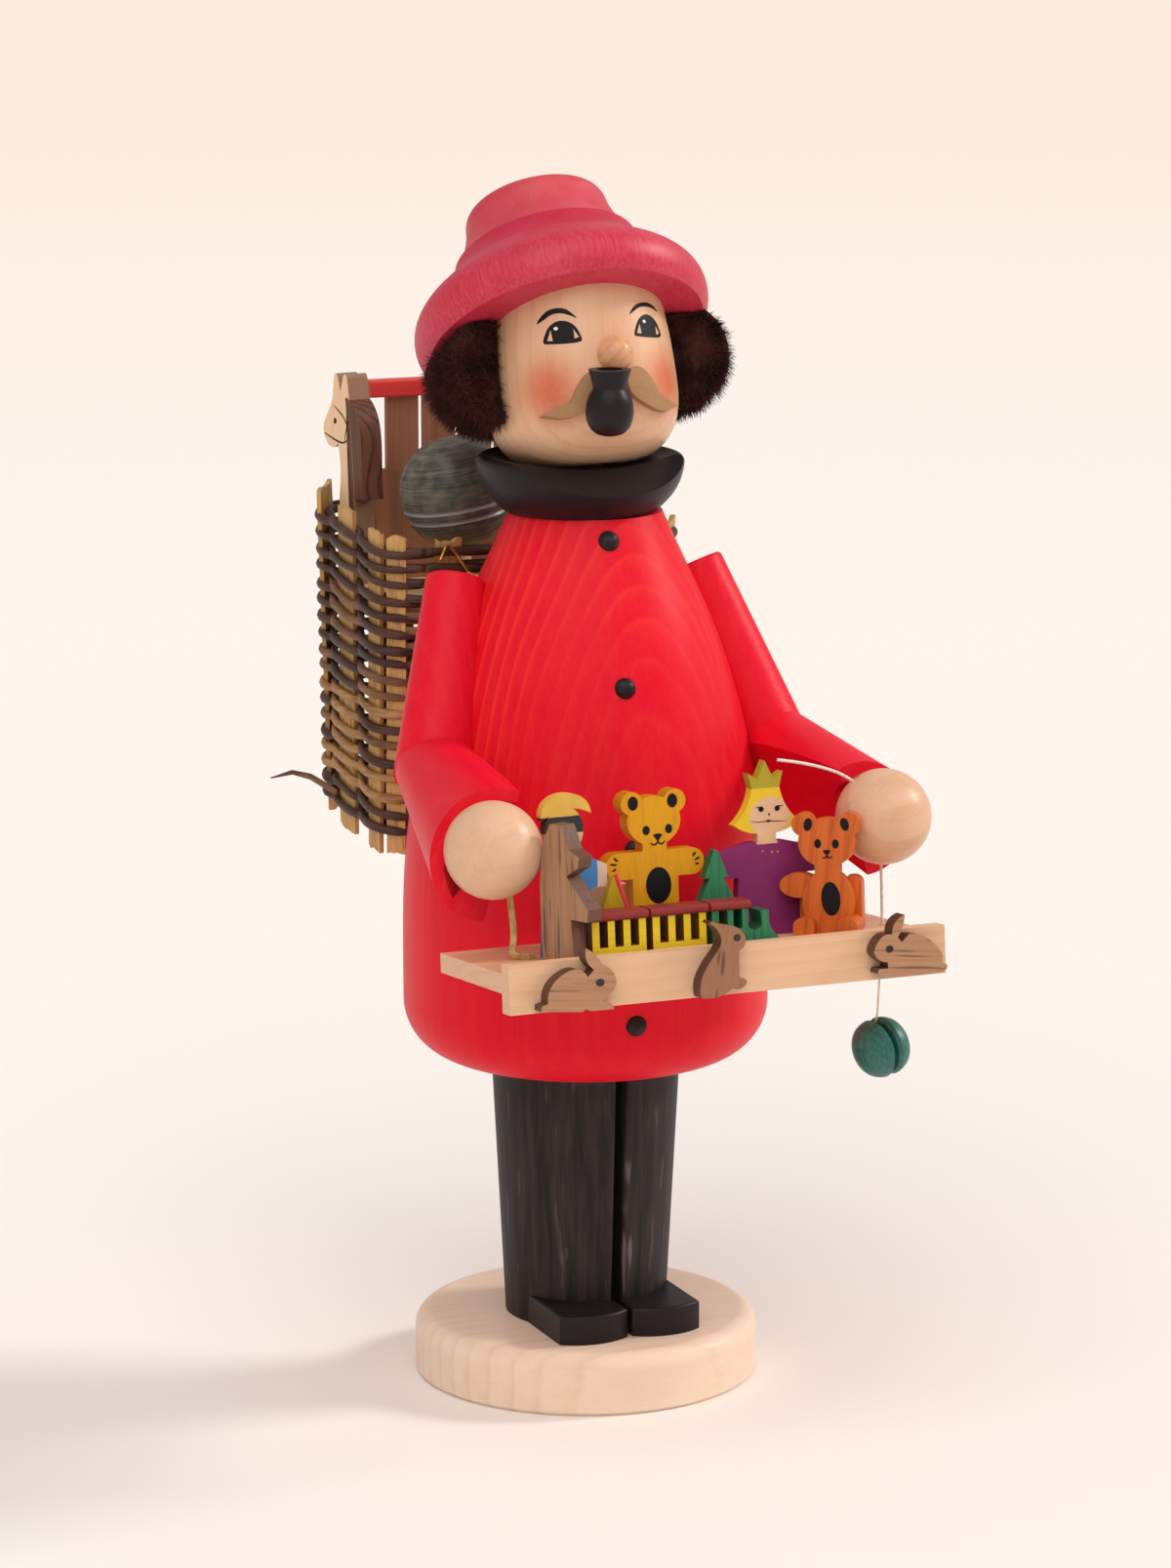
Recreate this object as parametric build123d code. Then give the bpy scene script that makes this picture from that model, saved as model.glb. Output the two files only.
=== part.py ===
from build123d import *
import os
from math import cos, radians, sin, sqrt

# Toy pedlar incense smoker. A hollow turned figure lifts off its stand to reach the incense cone, and
# carries a tray of cut-out toys, a pack basket and a yo-yo on a cord. Millimetres, +Z up. The figure faces
# -Y, +X is the figure's left, and the origin is the centre of the base disc's underside.

# Stand: base disc, sawn trouser legs, shoes and the plate that carries the figure
BASE_RADIUS = 46.0
BASE_HEIGHT = 16.5
BASE_TOP_ROUND = 4.5
BASE_FOOT_CHAMFER = 1.0
LEG_FOOT_RADIUS = 21.6
LEG_TOP_RADIUS = 25.3
LEG_HEIGHT = 71.5
LEG_SLOT = 3.0
LEG_EDGE_ROUND = 0.8
LEG_DOWEL_PLACE = 12.0
SHOE_WIDTH = 19.4
SHOE_HEIGHT = 7.8
SHOE_REACH = 30.5
SHOE_TOE_BULGE = 3.2
SHOE_GAP = 1.4
SHOE_EDGE_ROUND = 0.9
PLATE_RADIUS = 30.6
PLATE_HEIGHT = 4.0
PLATE_CLEARANCE = 0.4
DRAUGHT_HOLE_RADIUS = 2.0
DRAUGHT_HOLE_PLACE = 19.0
DOWEL_RADIUS = 3.0
DOWEL_DEPTH = 7.0
DISH_RADIUS = 12.0
DISH_HEIGHT = 2.6
DISH_WALL = 0.8
CONE_RADIUS = 5.0
CONE_TIP_RADIUS = 0.8
CONE_HEIGHT = 22.0

# Coat: flank points are (radius lost from the belly, share of the coat's height), and buttons sit at shares too
COAT_RADIUS = 48.7
COAT_FOOT_ROUND = 15.0
COAT_HEIGHT = 146.0
COAT_TOP_RADIUS = 20.2
COAT_FLANK = ((0.6, 0.3562), (8.7, 0.6678), (15.8, 0.8096))
CHAMBER_RADIUS = 28.0
CHAMBER_HEIGHT = 82.0
CHAMBER_ROOF = 16.0
FLUE_RADIUS = 4.5
BUTTON_RADIUS = 2.9
BUTTON_SINK = 0.9
BUTTON_NAIL_RADIUS = 0.7
BUTTON_NAIL_LENGTH = 7.0
BUTTON_SHARES = (0.1233, 0.4384, 0.7158, 0.9623)
BUTTON_TURN = -7.0

# Collar, neck peg and head
COLLAR_HEIGHT = 15.0
COLLAR_SIDE = -1.6
COLLAR_RADIUS = 27.4
COLLAR_FOOT_RADIUS = 21.0
COLLAR_RIM = 2.2
COLLAR_CUT_BACK = 11.0
COLLAR_CUT_ANGLE = 30.0
NECK_PEG_RADIUS = 7.0
NECK_PEG_DEPTH = 9.0
HEAD_RADIUS = 25.3
HEAD_HEIGHT = 58.0
HEAD_WIDEST = 18.5
HEAD_SEAT_RADIUS = 9.0
HEAD_TOP_RADIUS = 20.8
HEAD_SEAT_RISE = 11.5
HEAD_SETBACK = -3.0
HEAD_TURN = -2.0
HEAD_TILT = 15.0
HEAD_ROLL = 1.5
NOSE_RADIUS = 4.6
NOSE_LENGTH = 6.5
NOSE_LEVEL = 26.0
NOSE_SIDE = 0.7
MOUTH_LEVEL = 13.5
MOUTH_SIDE = -5.4
MOUSTACHE_THICKNESS = 2.8
MOUSTACHE_LEVEL = 15.5
PIPE_BOWL_HEIGHT = 17.2
PIPE_BELLY_RADIUS = 6.0
PIPE_RIM_RADIUS = 5.6
PIPE_NECK_RADIUS = 4.6
PIPE_BORE_RADIUS = 3.4
PIPE_STANDOFF = 8.7
PIPE_STEM_RADIUS = 2.0
PIPE_STEM_BORE = 0.8
HAIR_THICKNESS = 14.5
HAIR_FOOT = 12.5
HAIR_HEIGHT = 29.0
HAIR_FACE_ANGLE = 71.0
HAIR_CLEARANCE = 0.3

# Hat: turned in one piece, set back on the head
HAT_PLACE = (-2.0, 11.9)
HAT_RISE = 49.2
HAT_TILT = 36.0
HAT_ROLL = -0.6
HAT_SEAT = -2.5
HAT_BRIM_RADIUS = 39.3
HAT_BRIM_DROP = 6.9
HAT_CROWN_HEIGHT = 34.6
HAT_CROWN_RADIUS = 18.9
HAT_WAIST_RADIUS = 20.6
HAT_BAND_RADIUS = 25.0
HAT_BAND_HEIGHT = 4.2
HAT_BAND_PLACE = 11.0

# Arms: axis points of the left arm, mirrored for the right
SHOULDER_STANDOFF_RIGHT = 7.4
SHOULDER_STANDOFF_LEFT = 5.0
SHOULDER_FORWARD = -4.0
SHOULDER_HEIGHT = 129.5
ELBOW_STANDOFF = 4.6
ELBOW_FORWARD = 12.8
ELBOW_HEIGHT = 83.0
HAND_SPREAD = 54.0
HAND_FORWARD = 20.7
HAND_HEIGHT = 72.6
HAND_RADIUS = 12.4
SHOULDER_RADIUS = 7.7
ELBOW_RADIUS = 10.0
CUFF_RADIUS_RIGHT = 16.6
CUFF_RADIUS_LEFT = 14.6
CUFF_GAP_RIGHT = 5.0
CUFF_GAP_LEFT = 9.0
CUFF_DROP = 1.8
CUFF_RIM = 1.4
CUFF_FLOOR_RADIUS = 8.0
CUFF_FLAT = 2.9
CUFF_FLAT_LEAN = 17.0
CUFF_FLAT_TURN = 8.9
ARM_DOWEL_RADIUS = 2.0
ARM_DOWEL_DEPTH = 6.0
GLUE_LINE = 0.05

# Tray: floor and rail, tipped up at the front
TRAY_LENGTH = 119.4
TRAY_DEPTH = 42.0
TRAY_FLOOR = 5.0
TRAY_TILT = 5.2
TRAY_SEAT = 1.5
TRAY_REAR_HEIGHT = 42.0
RAIL_THICKNESS = 5.0
RAIL_HEIGHT = 12.3
RAIL_RISE = 2.4
HARE_THICKNESS = 4.6

# Cords, lace and yo-yo
LACE_RADIUS = 0.6
LACE_BEND = 0.8
CORD_RADIUS = 0.45
CORD_BEND = 3.0
CORD_HOLE_RADIUS = 1.0
CORD_GAP = 0.3
YO_YO_RADIUS = 7.7
YO_YO_WIDTH = 13.0
YO_YO_GROOVE = 1.4
YO_YO_GROOVE_DEPTH = 2.6
YO_YO_DROP = 27.5
YO_YO_AXIS = (-0.965, -0.2, -0.17)

# Pack basket on the back
BASKET_WALL = 3.6
BASKET_SIDE = -3.5
BASKET_FOOT_HEIGHT = 56.0
BASKET_FOOT_WIDTH = 84.0
BASKET_FOOT_FRONT = 33.0
BASKET_FOOT_DEPTH = 55.0
BASKET_FOOT_TILT = 5.0
BASKET_RIM_HEIGHT = 137.5
BASKET_RIM_WIDTH = 88.0
BASKET_RIM_FRONT = 24.0
BASKET_RIM_DEPTH = 63.0
BASKET_RIM_TILT = 9.5
BASKET_CORNER = 12.0
BASKET_FLOOR = 3.0
SHELF_DROP = 19.5
SHELF_THICKNESS = 5.0
STAKE_COUNT = 24
STAKE_WIDTH = 5.7
STAKE_THICKNESS = 1.3
STAKE_END = 5.0
WIRE_RADIUS = 0.4
WIRE_BEND = 1.2
BALL_RADIUS = 15.3
BALL_PLACE = (-17.0, 50.0)
BALL_RISE = 27.0
BALL_PEG_RADIUS = 4.0
HORSE_PLACE = (-37.0, 74.0)
HORSE_RISE = 24.0
HORSE_TURN = 10.0
HORSE_THICKNESS = 6.4
CRIB_LENGTH = 52.0
CRIB_LEFT_END = -32.4
CRIB_RISE = 55.0
CRIB_CAP = (6.0, 4.6)
CRIB_SLAT_WIDTH = 9.2
CRIB_SLAT_GAP = 1.5
CRIB_SLAT_THICKNESS = 2.0
CRIB_SLAT_HEIGHT = 20.0
CRIB_BOARD_THICKNESS = 3.0


def turned(outline):
    """Solid of revolution about Z from the edges of a closed outline of (radius, height) points."""
    return revolve(make_face(Plane.XZ * Wire(outline)), Axis.Z)


def rod(start, end, radius, end_radius=None):
    """Round rod or cone between two points."""
    run = Vector(*end) - Vector(*start)
    place = Plane(origin=start, z_dir=run).location
    if end_radius is None:
        return place * extrude(Circle(radius), run.length)
    return place * Cone(radius, end_radius, run.length, align=(Align.CENTER, Align.CENTER, Align.MIN))


def tube(points, bend, radius):
    """Round cord, lace or wire through the given points, each corner bent to the given radius."""
    path = FilletPolyline(*points, radius=bend)
    return sweep(Plane(origin=path @ 0, z_dir=path % 0) * Circle(radius), path=path)


def board(sketch, thickness):
    """Cut-out board drawn in X and Z, standing with its back at Y = 0 and its face toward -Y."""
    return extrude(Plane.XZ * sketch, thickness)


def block(x, y, z, length, depth, height):
    """Box centred in X on x, running back from y and up from z."""
    return Pos(x, y, z) * Box(length, depth, height, align=(Align.CENTER, Align.MIN, Align.MIN))


def drawn(*runs):
    """Flat shape from runs of points joined end to end: two points make a straight side, more a smooth one."""
    edges = [Line(*run) if len(run) == 2 else Spline(*run) for run in runs]
    face = Face(Wire(edges))
    return Sketch() + (face if face.normal_at().Z > 0 else -face)


def straight(*points):
    """Flat shape with straight sides through the given corners."""
    return drawn(*zip(points, points[1:] + points[:1]))


# Stand
leg_top = BASE_HEIGHT + LEG_HEIGHT
plate_top = leg_top + PLATE_HEIGHT
coat_bottom = leg_top
leg_dowel_places = [(side * LEG_DOWEL_PLACE, 0) for side in (-1, 1)]


def leg_dowel(z, grow=0.0):
    pair = [Pos(x, y, z) * Cylinder(DOWEL_RADIUS + grow, 2 * DOWEL_DEPTH) for x, y in leg_dowel_places]
    return Part() + pair


def make_base_disc():
    disc = extrude(Circle(BASE_RADIUS), BASE_HEIGHT)
    disc = fillet(disc.edges().group_by(Axis.Z)[-1], BASE_TOP_ROUND)
    disc = chamfer(disc.edges().group_by(Axis.Z)[0], BASE_FOOT_CHAMFER)
    return disc - leg_dowel(BASE_HEIGHT)


def make_legs():
    """Turned cone, sawn lengthwise into a right and a left leg."""
    cone = rod((0, 0, BASE_HEIGHT), (0, 0, leg_top), LEG_FOOT_RADIUS, LEG_TOP_RADIUS)
    halves = []
    for side in (-1, 1):
        keep = Pos(side * (LEG_SLOT / 2 + BASE_RADIUS / 2), 0, BASE_HEIGHT + LEG_HEIGHT / 2)
        half = cone & keep * Box(BASE_RADIUS, 2 * BASE_RADIUS, 2 * LEG_HEIGHT)
        upright = [e for e in half.edges() if abs(e.center().X) < LEG_SLOT and e.length > LEG_HEIGHT * 0.9]
        half = fillet(upright, LEG_EDGE_ROUND)
        halves.append(half - leg_dowel(BASE_HEIGHT) - leg_dowel(leg_top))
    return halves


def make_shoe(side):
    """Black block with a rounded toe, its heel cut to the leg."""
    inner = side * SHOE_GAP / 2
    outer = side * (SHOE_GAP / 2 + SHOE_WIDTH)
    toe = -(SHOE_REACH + SHOE_TOE_BULGE)
    sole = make_face([
        Line((inner, 0), (inner, -SHOE_REACH)),
        ThreePointArc((inner, -SHOE_REACH), ((inner + outer) / 2, toe), (outer, -SHOE_REACH)),
        Line((outer, -SHOE_REACH), (outer, 0)),
        Line((outer, 0), (inner, 0)),
    ])
    shoe = Pos(0, 0, BASE_HEIGHT) * extrude(sole, SHOE_HEIGHT)
    shoe = fillet(shoe.edges().group_by(Axis.Z)[-1], SHOE_EDGE_ROUND)
    leg = rod((0, 0, BASE_HEIGHT), (0, 0, leg_top), LEG_FOOT_RADIUS + GLUE_LINE, LEG_TOP_RADIUS + GLUE_LINE)
    return (shoe - leg).solids().sort_by(Axis.Y)[0]


def make_leg_plate():
    plate = Pos(0, 0, leg_top) * extrude(Circle(PLATE_RADIUS), PLATE_HEIGHT)
    for y in (-DRAUGHT_HOLE_PLACE, DRAUGHT_HOLE_PLACE):
        plate -= Pos(0, y, leg_top) * Cylinder(DRAUGHT_HOLE_RADIUS, 4 * PLATE_HEIGHT)
    return plate - leg_dowel(leg_top)


def make_leg_dowels():
    """Pegs that join the legs to the disc below and the plate above."""
    upper_room = Pos(0, 0, plate_top - GLUE_LINE) * Box(200, 200, 200, align=(Align.CENTER, Align.CENTER, Align.MIN))
    return leg_dowel(BASE_HEIGHT, -GLUE_LINE) + (leg_dowel(leg_top, -GLUE_LINE) - upper_room)


def make_incense_dish():
    cup = extrude(Circle(DISH_RADIUS), DISH_HEIGHT) - Pos(0, 0, DISH_WALL) * extrude(
        Circle(DISH_RADIUS - DISH_WALL), DISH_HEIGHT)
    return Pos(0, 0, plate_top) * cup


def make_incense_cone():
    seat = plate_top + DISH_WALL
    return rod((0, 0, seat), (0, 0, seat + CONE_HEIGHT), CONE_RADIUS, CONE_TIP_RADIUS)


# Coat
coat_top = coat_bottom + COAT_HEIGHT


def coat_side(grow=0.0):
    """The coat's flank from the belly to the neck, as (radius, height)."""
    points = [(COAT_RADIUS - lost + grow, coat_bottom + share * COAT_HEIGHT) for lost, share in COAT_FLANK]
    belly = (COAT_RADIUS + grow, coat_bottom + COAT_FOOT_ROUND)
    neck = (COAT_TOP_RADIUS + grow, coat_top)
    return Spline(belly, *points, neck, tangents=((0, 1), (-0.42, 1)))


coat_flank = coat_side()


def coat_radius(height):
    """Radius of the coat's flank at a height above the coat's bottom."""
    low, high = 0.0, 1.0
    for _ in range(40):
        middle = (low + high) / 2
        if coat_flank.position_at(middle).Y < coat_bottom + height:
            low = middle
        else:
            high = middle
    return coat_flank.position_at(low).X


def coat_form(grow=0.0):
    """The coat's outside, as a solid."""
    foot = (COAT_RADIUS - COAT_FOOT_ROUND, coat_bottom - grow)
    belly = (COAT_RADIUS + grow, coat_bottom + COAT_FOOT_ROUND)
    return turned([
        Line((0, coat_bottom - grow), foot),
        RadiusArc(foot, belly, -COAT_FOOT_ROUND - grow),
        coat_side(grow),
        Line((COAT_TOP_RADIUS + grow, coat_top), (0, coat_top)),
        Line((0, coat_top), (0, coat_bottom - grow)),
    ])


coat_solid = coat_form()
button_heights = [share * COAT_HEIGHT for share in BUTTON_SHARES]


def button_place(height):
    return Rot(0, 0, BUTTON_TURN) * Pos(0, -coat_radius(height), coat_bottom + height)


def button_nail(height, grow=0.0):
    nail = Rot(90, 0, 0) * Cylinder(BUTTON_NAIL_RADIUS + grow, 2 * BUTTON_NAIL_LENGTH)
    return button_place(height) * nail


def make_buttons():
    """Domed nails driven into the coat's front."""
    buttons = []
    for height in button_heights:
        head = button_place(height) * Pos(0, BUTTON_SINK, 0) * Sphere(BUTTON_RADIUS)
        front = button_place(height) * Pos(0, BUTTON_NAIL_LENGTH, 0) * Box(9, 2 * BUTTON_NAIL_LENGTH, 9)
        shank = button_nail(height, -GLUE_LINE) & (button_place(height) * Box(9, 2 * BUTTON_NAIL_LENGTH, 9))
        shank = shank & front
        buttons.append((head - coat_solid) + shank)
    return Part() + buttons


def make_coat(cuts):
    chamber_top = coat_bottom + CHAMBER_HEIGHT
    hollow = Pos(0, 0, coat_bottom) * extrude(Circle(CHAMBER_RADIUS), CHAMBER_HEIGHT)
    hollow += rod((0, 0, chamber_top), (0, 0, chamber_top + CHAMBER_ROOF), CHAMBER_RADIUS, FLUE_RADIUS)
    hollow += Pos(0, 0, chamber_top) * extrude(Circle(FLUE_RADIUS), COAT_HEIGHT)
    rebate = Pos(0, 0, coat_bottom) * extrude(Circle(PLATE_RADIUS + PLATE_CLEARANCE), PLATE_HEIGHT)
    peg = Pos(0, 0, coat_top - NECK_PEG_DEPTH) * extrude(Circle(NECK_PEG_RADIUS), 2 * NECK_PEG_DEPTH)
    nails = [button_nail(height) for height in button_heights]
    return coat_solid - hollow - rebate - peg - nails - cuts


# Head, in its own frame: Z along the head's axis from its seat, face toward -Y
head_frame = (
    Pos(0, HEAD_SETBACK, coat_top + HEAD_SEAT_RISE)
    * Rot(0, 0, HEAD_TURN)
    * Rot(-HEAD_TILT, 0, 0)
    * Rot(0, -HEAD_ROLL, 0)
)


def head_form(grow=0.0):
    seat = (HEAD_SEAT_RADIUS, -grow)
    widest = (HEAD_RADIUS + grow, HEAD_WIDEST)
    top = (HEAD_TOP_RADIUS + grow, HEAD_HEIGHT)
    return turned([
        Line((0, -grow), seat),
        Spline(seat, widest, tangents=((1, 0.08), (0, 1))),
        Spline(widest, top, tangents=((0, 1), (-0.2, 1))),
        Line(top, (0, HEAD_HEIGHT)),
        Line((0, HEAD_HEIGHT), (0, -grow)),
    ])


# Hat frame: Z along the crown's axis, brim widest at Z = 0
hat_frame = Pos(*HAT_PLACE, coat_top + HAT_RISE) * Rot(-HAT_TILT, 0, 0) * Rot(0, -HAT_ROLL, 0)
hat_reach = 2 * HAT_BRIM_RADIUS
above_seat = hat_frame * block(0, -hat_reach, HAT_SEAT, 2 * hat_reach, 2 * hat_reach, hat_reach)
head_local = head_form()
head_solid = head_frame * head_local - above_seat


def neck_peg(grow=0.0):
    """Hollow peg through the collar, on the coat's axis."""
    foot = coat_top - NECK_PEG_DEPTH
    rise = NECK_PEG_DEPTH + HEAD_SEAT_RISE + NECK_PEG_DEPTH
    return Pos(0, 0, foot) * extrude(Circle(NECK_PEG_RADIUS + grow), rise)


def make_neck_peg():
    bore = Pos(0, 0, coat_bottom) * extrude(Circle(FLUE_RADIUS), 2 * COAT_HEIGHT)
    return neck_peg(-GLUE_LINE) - bore


def mouth_bore():
    return Pos(MOUTH_SIDE, 0, MOUTH_LEVEL) * Rot(90, 0, 0) * extrude(Circle(PIPE_STEM_RADIUS), 2 * HEAD_RADIUS)


def nose_peg():
    return Pos(NOSE_SIDE, -HEAD_RADIUS + 6, NOSE_LEVEL) * Rot(90, 0, 0)


def make_head():
    """Turned head, its top sawn on the slant of the hat."""
    flue = extrude(Circle(FLUE_RADIUS), MOUTH_LEVEL + FLUE_RADIUS)
    nose_hole = nose_peg() * Pos(0, 0, 1) * Cylinder(2.0, 14)
    return head_frame * (head_local - flue - mouth_bore() - nose_hole) - neck_peg() - above_seat


def make_nose():
    """Turned peg with a ball end, glued into the face."""
    ball = nose_peg() * Pos(0, 0, NOSE_LENGTH) * Sphere(NOSE_RADIUS)
    stem = nose_peg() * Cylinder(NOSE_RADIUS * 0.8, 2 * NOSE_LENGTH)
    tenon = nose_peg() * Pos(0, 0, 1) * Cylinder(2.0 - GLUE_LINE, 14 - 2 * GLUE_LINE)
    return head_frame * ((ball + stem - head_local) + tenon)


def make_moustache():
    """Two carved halves that lie on the curve of the face."""
    half = make_face([
        Spline((2.6, 5.4), (6.0, 6.6), (11.0, 1.2), (18.6, -3.4), tangents=((1, 0.9), (1, -0.35))),
        Spline((18.6, -3.4), (12.0, -4.8), (5.0, -1.6), (2.6, 5.4), tangents=((-1, -0.5), (0.1, 1))),
    ])
    slab = Pos(0, 0, MOUSTACHE_LEVEL) * extrude(Plane.XZ * half, 2 * HEAD_RADIUS)
    slab += mirror(slab, Plane.YZ)
    shell = head_form(MOUSTACHE_THICKNESS) - head_local
    return head_frame * ((slab & shell) - mouth_bore())


pipe_place = (MOUTH_SIDE, -(HEAD_RADIUS + PIPE_STANDOFF), MOUTH_LEVEL)


def make_pipe_bowl():
    """Turned pot with a flared lip, upright in front of the mouth."""
    foot = -PIPE_BOWL_HEIGHT * 0.56
    lip = foot + PIPE_BOWL_HEIGHT
    neck = lip - 4.6
    belly = foot + PIPE_BELLY_RADIUS
    pot = turned([
        Line((0, foot), (1.4, foot)),
        Spline((1.4, foot), (PIPE_BELLY_RADIUS, belly), (PIPE_NECK_RADIUS, neck), tangents=((1, 0.1), (-0.2, 1))),
        Spline((PIPE_NECK_RADIUS, neck), (PIPE_RIM_RADIUS, lip), tangents=((0.05, 1), (0.45, 1))),
        Line((PIPE_RIM_RADIUS, lip), (PIPE_BORE_RADIUS, lip)),
        Line((PIPE_BORE_RADIUS, lip), (PIPE_BORE_RADIUS, belly)),
        Line((PIPE_BORE_RADIUS, belly), (0, belly)),
        Line((0, belly), (0, foot)),
    ])
    return head_frame * (Pos(*pipe_place) * pot - pipe_stem_rod(0.0))


def pipe_stem_rod(grow):
    run = HEAD_RADIUS + PIPE_STANDOFF - PIPE_BORE_RADIUS - FLUE_RADIUS
    return Pos(MOUTH_SIDE, -FLUE_RADIUS, MOUTH_LEVEL) * Rot(90, 0, 0) * extrude(Circle(PIPE_STEM_RADIUS + grow), run)


def make_pipe_stem():
    run = 2 * HEAD_RADIUS + PIPE_STANDOFF
    bore = Pos(MOUTH_SIDE, 0, MOUTH_LEVEL) * Rot(90, 0, 0) * extrude(Circle(PIPE_STEM_BORE), run)
    return head_frame * (pipe_stem_rod(-GLUE_LINE) - bore)


# Hat
def hat_form():
    crown_edge = HAT_CROWN_HEIGHT - 3.2
    band_top = HAT_BAND_PLACE + HAT_BAND_HEIGHT
    lip = (HAT_BRIM_RADIUS - 2.5, -HAT_BRIM_DROP)
    return turned([
        Line((0, 1.5 - HAT_BRIM_DROP), (0, HAT_CROWN_HEIGHT)),
        Spline((0, HAT_CROWN_HEIGHT), (HAT_CROWN_RADIUS - 3.0, HAT_CROWN_HEIGHT - 0.8),
               (HAT_CROWN_RADIUS, crown_edge), tangents=((1, 0), (0.05, -1))),
        Spline((HAT_CROWN_RADIUS, crown_edge), (HAT_WAIST_RADIUS, band_top + 4.5),
               (HAT_BAND_RADIUS - 1.2, band_top), tangents=((0.05, -1), (0.75, -1))),
        Line((HAT_BAND_RADIUS - 1.2, band_top), (HAT_BAND_RADIUS - 0.4, band_top - 0.4)),
        Line((HAT_BAND_RADIUS - 0.4, band_top - 0.4), (HAT_BAND_RADIUS + 0.8, HAT_BAND_PLACE)),
        Spline((HAT_BAND_RADIUS + 0.8, HAT_BAND_PLACE), (HAT_BRIM_RADIUS - 4.2, 6.6),
               (HAT_BRIM_RADIUS, 0), lip, tangents=((1, -0.12), (-1, -0.5))),
        Spline(lip, (HEAD_RADIUS + 2.0, 1.2 - HAT_BRIM_DROP), (0, 1.5 - HAT_BRIM_DROP),
               tangents=((-1, 0.35), (-1, 0))),
    ])


hat_solid = hat_frame * hat_form()


def make_hat():
    return hat_solid - head_solid


def make_collar():
    """Turned bowl around the chin, its front cut on a slant."""
    foot = coat_top
    rim = coat_top + COLLAR_HEIGHT
    floor = coat_top + HEAD_SEAT_RISE + 1.0
    side = (COLLAR_RADIUS, rim - 2.5)
    lip = (COLLAR_RADIUS - COLLAR_RIM, rim)
    bowl = turned([
        Line((0, foot), (COLLAR_FOOT_RADIUS - 1.2, foot)),
        Spline((COLLAR_FOOT_RADIUS - 1.2, foot), side, tangents=((1, 0.8), (0.1, 1))),
        Spline(side, lip, tangents=((0.1, 1), (-1, 0.1))),
        Line(lip, (HEAD_SEAT_RADIUS + 6.0, floor)),
        Line((HEAD_SEAT_RADIUS + 6.0, floor), (0, floor)),
        Line((0, floor), (0, foot)),
    ])
    saw = Pos(0, -COLLAR_CUT_BACK, rim) * Rot(COLLAR_CUT_ANGLE, 0, 0) * Box(
        4 * COLLAR_RADIUS, 4 * COLLAR_RADIUS, COLLAR_RADIUS, align=(Align.CENTER, Align.MAX, Align.MIN))
    return Pos(COLLAR_SIDE, 0, 0) * (bowl - saw) - head_solid - neck_peg()


def make_hair():
    """Fur band round the sides and back of the head."""
    inner = HEAD_RADIUS - 2.0
    outer = HEAD_RADIUS + HAIR_THICKNESS
    middle = HAIR_FOOT + HAIR_HEIGHT / 2
    section = make_face([
        Line((inner, HAIR_FOOT + HAIR_HEIGHT), (inner, HAIR_FOOT)),
        ThreePointArc((inner, HAIR_FOOT), (outer, middle), (inner, HAIR_FOOT + HAIR_HEIGHT)),
    ])
    sweep = 360 - 2 * HAIR_FACE_ANGLE
    band = Rot(0, 0, HAIR_FACE_ANGLE - 90) * revolve(Plane.XZ * section, Axis.Z, sweep)
    collar_room = Pos(COLLAR_SIDE, 0, coat_top) * extrude(Circle(COLLAR_RADIUS + HAIR_CLEARANCE), COLLAR_HEIGHT + HAIR_CLEARANCE)
    hat_room = hat_frame * Pos(0, 0, -HAIR_CLEARANCE) * hat_form()
    return head_frame * (band - head_form(HAIR_CLEARANCE)) - hat_solid - hat_room - collar_room


# Arms
def arm_points(side):
    """Shoulder, elbow, cuff and hand of one arm; side is -1 for the right arm and 1 for the left."""
    standoff = SHOULDER_STANDOFF_RIGHT if side < 0 else SHOULDER_STANDOFF_LEFT
    shoulder = Vector(side * (coat_radius(SHOULDER_HEIGHT) + standoff), -SHOULDER_FORWARD,
                      coat_bottom + SHOULDER_HEIGHT)
    elbow = Vector(side * (coat_radius(ELBOW_HEIGHT) + ELBOW_STANDOFF), -ELBOW_FORWARD, coat_bottom + ELBOW_HEIGHT)
    hand = Vector(side * HAND_SPREAD, -(COAT_RADIUS + HAND_FORWARD), coat_bottom + HAND_HEIGHT)
    cuff = hand + Vector(-side * CUFF_DROP, cuff_gap(side), -CUFF_DROP)
    return shoulder, elbow, cuff, hand


def cuff_gap(side):
    """How far the cuff's rim lies behind the hand's centre."""
    return CUFF_GAP_RIGHT if side < 0 else CUFF_GAP_LEFT


def mitre(side):
    """Plane in which the two lengths of an arm meet, facing the hand."""
    shoulder, elbow, cuff, _ = arm_points(side)
    return Plane(origin=elbow, z_dir=(elbow - shoulder).normalized() + (cuff - elbow).normalized())


def arm_dowel(side, grow=0.0):
    """Peg from the bottom of the cuff into the hand."""
    hand = arm_points(side)[3]
    back = hand + Vector(0, HAND_RADIUS, 0)
    reach = Vector(0, ARM_DOWEL_DEPTH, 0)
    return rod(back - reach, back + reach, ARM_DOWEL_RADIUS + grow)


def shoulder_dowel(side, grow=0.0):
    """Peg from the upper arm into the coat."""
    shoulder, elbow, _, _ = arm_points(side)
    seat = shoulder + (elbow - shoulder) * 0.3
    inward = Vector(-side, 0, 0)
    return rod(seat, seat + inward * (2 * ARM_DOWEL_DEPTH), ARM_DOWEL_RADIUS + grow)


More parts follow.
